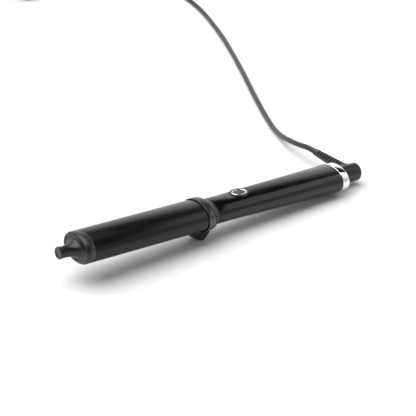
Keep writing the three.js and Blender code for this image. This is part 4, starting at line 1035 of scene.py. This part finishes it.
# %% A helper for grained finishes
def grained(name, colours, roughness, grain, bump, metallic=0.0,
            stretch=(1, 1, 1), turn=(0, 0, 0), **sockets):
    """Colours and roughness are (low, high), grain is the fine noise's scale per metre, bump metres."""
    material = bpy.data.materials.new(name)
    material.use_nodes = True
    nodes, links = material.node_tree.nodes, material.node_tree.links
    shader = nodes["Principled BSDF"]
    shader.inputs["Metallic"].default_value = metallic
    for socket, value in sockets.items():
        shader.inputs[socket.replace("_", " ")].default_value = value
    place = nodes.new("ShaderNodeTexCoord")
    mapping = nodes.new("ShaderNodeMapping")
    mapping.inputs["Scale"].default_value = stretch
    mapping.inputs["Rotation"].default_value = turn
    links.new(place.outputs["Object"], mapping.inputs["Vector"])

    def noise(scale, detail, stretched):
        texture = nodes.new("ShaderNodeTexNoise")
        texture.inputs["Scale"].default_value = scale
        texture.inputs["Detail"].default_value = detail
        source = mapping.outputs["Vector"] if stretched else place.outputs["Object"]
        links.new(source, texture.inputs["Vector"])
        return texture.outputs["Fac"]

    ramp = nodes.new("ShaderNodeValToRGB")
    ramp.color_ramp.elements[0].position = 0.35
    ramp.color_ramp.elements[1].position = 0.68
    ramp.color_ramp.elements[0].color = (*colours[0], 1)
    ramp.color_ramp.elements[1].color = (*colours[1], 1)
    links.new(noise(grain / 12, 6, False), ramp.inputs["Fac"])
    links.new(ramp.outputs["Color"], shader.inputs["Base Color"])
    gloss = nodes.new("ShaderNodeMapRange")
    gloss.inputs["From Min"].default_value = 0.3
    gloss.inputs["From Max"].default_value = 0.72
    gloss.inputs["To Min"].default_value = roughness[0]
    gloss.inputs["To Max"].default_value = roughness[1]
    links.new(noise(grain / 5, 8, True), gloss.inputs["Value"])
    links.new(gloss.outputs["Result"], shader.inputs["Roughness"])
    relief_map = nodes.new("ShaderNodeBump")
    relief_map.inputs["Strength"].default_value = 1
    relief_map.inputs["Distance"].default_value = bump
    links.new(noise(grain, 3, True), relief_map.inputs["Height"])
    links.new(relief_map.outputs["Normal"], shader.inputs["Normal"])
    return material


def wear(piece, material):
    piece.data.materials.clear()
    piece.data.materials.append(material)


LEVEL = (0, -TILT, 0)  # turns a pattern to run along and across the tilted wand

# %% [markdown]
# ### Plastics
# The handle is gloss black with fine handling marks; the tip, neck, stand and knob are a satin black of
# a slightly warmer tone. Both shades are very dark grey, because a true black shows no shape.

# %% Mix the plastics
handle_gloss = grained(
    "handle_gloss", ((0.0016, 0.0016, 0.0017), (0.0030, 0.0030, 0.0032)),
    (0.12, 0.22), 900, 0.000003, stretch=(0.5, 1, 1), turn=LEVEL, IOR=1.46,
)
tip_satin = grained(
    "tip_satin", ((0.0022, 0.0022, 0.0023), (0.0040, 0.0040, 0.0042)),
    (0.24, 0.38), 1400, 0.000008,
)
stand_satin = grained(
    "stand_satin", ((0.0016, 0.0016, 0.0016), (0.0030, 0.0030, 0.0030)),
    (0.36, 0.52), 1800, 0.000014, IOR=1.36,
)
button_gloss = grained(
    "button_gloss", ((0.0018, 0.0018, 0.0018), (0.0030, 0.0030, 0.0032)),
    (0.20, 0.34), 2000, 0.000004,
)
knob_satin = grained(
    "knob_satin", ((0.0022, 0.0022, 0.0022), (0.0045, 0.0045, 0.0045)),
    (0.30, 0.46), 2200, 0.000012,
)
cord_sheath = grained(
    "cord_sheath", ((0.0040, 0.0040, 0.0040), (0.0090, 0.0090, 0.0090)),
    (0.28, 0.42), 1600, 0.000020,
)
strap_tape = grained(
    "strap_tape", ((0.012, 0.012, 0.013), (0.030, 0.030, 0.032)),
    (0.75, 0.95), 2600, 0.00012,
)
for piece, material in [
    (upper_shell, handle_gloss), (lower_shell, handle_gloss), (tip_disc, tip_satin), (nose, tip_satin),
    (rim, tip_satin), (flange, tip_satin), (stand, stand_satin), (bezel, tip_satin),
    (button, button_gloss), (knob, knob_satin), (relief, cord_sheath), (plug, cord_sheath),
    (strap, strap_tape), (mains_cord, cord_sheath),
]:
    wear(piece, material)
print("plastics on", "handle, tip, neck, stand, button, knob and cord")

# %% [markdown]
# ### Metals
# The barrel has a smooth dark coating over aluminium, with faint lengthways marks from hair and combs.
# Band and collar are brushed around the wand, so their grain is stretched along it. The rings are
# polished, and only fingerprints dull them.

# %% Mix the metals
barrel_coat = grained(
    "barrel_coat", ((0.0032, 0.0032, 0.0034), (0.0055, 0.0055, 0.0060)),
    (0.22, 0.29), 1500, 0.000003, stretch=(0.08, 1, 1), turn=LEVEL, IOR=1.38,
)
brushed_band = grained(
    "brushed_band", ((0.075, 0.075, 0.078), (0.110, 0.110, 0.115)),
    (0.26, 0.42), 900, 0.000008, metallic=1.0, stretch=(9, 0.25, 0.25), turn=LEVEL,
)
polished = grained(
    "polished", ((0.80, 0.80, 0.81), (0.90, 0.90, 0.90)),
    (0.03, 0.10), 700, 0.0000008, metallic=1.0,
)
blade_brass = grained(
    "blade_brass", ((0.62, 0.50, 0.27), (0.74, 0.62, 0.36)),
    (0.22, 0.40), 2400, 0.000008, metallic=1.0, stretch=(0.2, 1, 1),
)
for piece, material in [
    (barrel, barrel_coat), (band, brushed_band), (collar, brushed_band), (rear_ring, polished),
    (button_trim, polished), (blades[0], blade_brass), (blades[1], blade_brass),
]:
    wear(piece, material)
print("metals on barrel, band, collar, rings and blades")

# %% [markdown]
# ### The inside
# Nobody sees the heater, the board and the slip rings until the wand is opened, yet each has its own
# finish: rolled aluminium, spring steel, fired ceramic, green board, moulded blocks and red leads.

# %% Finish the inner pieces
aluminium = grained(
    "rolled_aluminium", ((0.55, 0.56, 0.57), (0.66, 0.67, 0.68)),
    (0.30, 0.48), 900, 0.00001, metallic=1.0, stretch=(0.15, 1, 1), turn=LEVEL,
)
steel = grained(
    "spring_steel", ((0.42, 0.43, 0.45), (0.56, 0.57, 0.58)),
    (0.22, 0.40), 1600, 0.000008, metallic=1.0,
)
brass = grained(
    "turned_brass", ((0.60, 0.46, 0.18), (0.74, 0.58, 0.26)),
    (0.20, 0.38), 2000, 0.000008, metallic=1.0, stretch=(6, 0.4, 0.4), turn=LEVEL,
)
ceramic = grained(
    "fired_ceramic", ((0.74, 0.71, 0.64), (0.84, 0.82, 0.76)),
    (0.60, 0.80), 1400, 0.00003,
)
board_green = grained(
    "board_green", ((0.010, 0.085, 0.030), (0.022, 0.130, 0.048)),
    (0.28, 0.42), 1200, 0.000012,
)
moulded = grained(
    "moulded_block", ((0.018, 0.018, 0.020), (0.032, 0.032, 0.035)),
    (0.45, 0.65), 1800, 0.00002,
)
carbon = grained(
    "brush_carbon", ((0.020, 0.020, 0.021), (0.045, 0.045, 0.047)),
    (0.55, 0.75), 2600, 0.00003,
)
red_sleeve = grained(
    "red_sleeve", ((0.34, 0.028, 0.020), (0.46, 0.045, 0.032)),
    (0.40, 0.58), 1500, 0.00001,
)
INNER_FINISHES = {
    aluminium: ["heat_spreader_upper", "heat_spreader_lower"],
    steel: ["tip_screw", "spreader_spring_left", "spreader_spring_right", "thermal_fuse",
            "board_screw_front", "board_screw_rear", "swivel_clip"],
    brass: ["slip_ring_live", "slip_ring_neutral"],
    ceramic: ["heater_plate"],
    board_green: ["circuit_board"],
    moulded: ["tip_bridge", "core_carrier", "temperature_sensor", "switch_plunger", "tact_switch",
              "triac", "control_chip", "buzzer", "brush_block"],
    carbon: ["brush_live", "brush_neutral"],
    red_sleeve: ["capacitor", "heater_lead_live", "heater_lead_neutral", "mains_lead_live",
                 "mains_lead_neutral"],
    knob_satin: ["end_cap"],
}
for material, names in INNER_FINISHES.items():
    for name in names:
        wear(frame["nodes"][name], material)
print("inner finishes on", sum(len(names) for names in INNER_FINISHES.values()), "pieces")

# %% [markdown]
# ## The table and the light
# The floor is a plain white sheet. Gloss black shows nothing of its own, only what stands around it, so
# the light is the finish. A broad sun nearly overhead lights the whole table evenly and gives the wand a
# soft shadow. The wand's long sides can't mirror what is straight above.
# The room around is bright near the table and dark higher up, which draws the black strip along the
# shoulders, and a dim panel to the right greys the handle's near side.

# %% Lay the floor
FLOOR_SIZE = 80.0
FLOOR_MIDDLE = (0.1, 0.3)
FLOOR_DROP = 0.0002
bpy.ops.object.select_all(action="DESELECT")
bpy.ops.mesh.primitive_plane_add(size=FLOOR_SIZE, location=(*FLOOR_MIDDLE, -FLOOR_DROP))
floor = bpy.context.active_object
floor.name = "floor"
fix_place(floor)
floor_paper = grained(
    "floor_paper", ((0.84, 0.84, 0.845), (0.87, 0.87, 0.87)),
    (0.85, 0.95), 300, 0.00002,
)
wear(floor, floor_paper)
floor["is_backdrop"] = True

# %% Hang the lamps
SUN_TURN = (math.radians(-14), math.radians(-15), 0)  # it leans a little towards the nose
SUN_SPREAD = math.radians(70)
SUN_POWER = 3.6
PANEL_PLACE = (0.95, -0.42, 0.80)
PANEL_SIZE = (0.70, 0.80)
PANEL_POWER = 1.9
bpy.ops.object.light_add(type="SUN", location=(0, 0, 2), rotation=SUN_TURN)
overhead = bpy.context.active_object
overhead.name = "overhead_lamp"
overhead.data.energy = SUN_POWER
overhead.data.angle = SUN_SPREAD
bpy.ops.object.light_add(type="AREA", location=PANEL_PLACE)
panel = bpy.context.active_object
panel.name = "handle_panel"
panel.data.shape = "RECTANGLE"
panel.data.size, panel.data.size_y = PANEL_SIZE
panel.data.energy = PANEL_POWER
print("lamps", overhead.name, panel.name)

# %% Light the room
ROOM_FAR = 1.20
ROOM_NEAR = 0.50
ROOM_STOPS = [(0.50, 1.0), (0.63, 0.01)]  # height on the sky, brightness
ROOM_FACING = (-0.4, 0.8)  # from behind the view to ahead of it
world = bpy.data.worlds.new("studio")
bpy.context.scene.world = world
world.use_nodes = True
nodes, links = world.node_tree.nodes, world.node_tree.links
direction = nodes.new("ShaderNodeTexCoord")
parts = nodes.new("ShaderNodeSeparateXYZ")
sky = nodes.new("ShaderNodeValToRGB")
links.new(direction.outputs["Generated"], parts.inputs["Vector"])
links.new(parts.outputs["Z"], sky.inputs["Fac"])
links.new(sky.outputs["Color"], nodes["Background"].inputs["Color"])
bands = sky.color_ramp
bands.elements[0].position = 0.0
bands.elements[0].color = (1, 1, 1, 1)
bands.elements[1].position = 1.0
bands.elements[1].color = (0.01, 0.01, 0.01, 1)
for position, level in ROOM_STOPS:
    stop = bands.elements.new(position)
    stop.color = (level, level, level, 1)

# the side that the nose-to-cord view looks towards is brighter than the side behind it
facing = nodes.new("ShaderNodeVectorMath")
facing.operation = "DOT_PRODUCT"
facing.inputs[1].default_value = (math.sin(CAMERA_HEADING), math.cos(CAMERA_HEADING), 0)
links.new(direction.outputs["Generated"], facing.inputs[0])
brightness = nodes.new("ShaderNodeMapRange")
brightness.inputs["From Min"].default_value = ROOM_FACING[0]
brightness.inputs["From Max"].default_value = ROOM_FACING[1]
brightness.inputs["To Min"].default_value = ROOM_NEAR
brightness.inputs["To Max"].default_value = ROOM_FAR
links.new(facing.outputs["Value"], brightness.inputs["Value"])
links.new(brightness.outputs["Result"], nodes["Background"].inputs["Strength"])
bpy.context.scene.view_settings.view_transform = "Standard"

# %% [markdown]
# ## The size of the looks
# The looks should not make the wand larger than its CAD model, so the box around every shown piece is
# printed.

# %% Print the visual box
low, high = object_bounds()
print("visual box", [round(v, 4) for v in (*low, *high)])
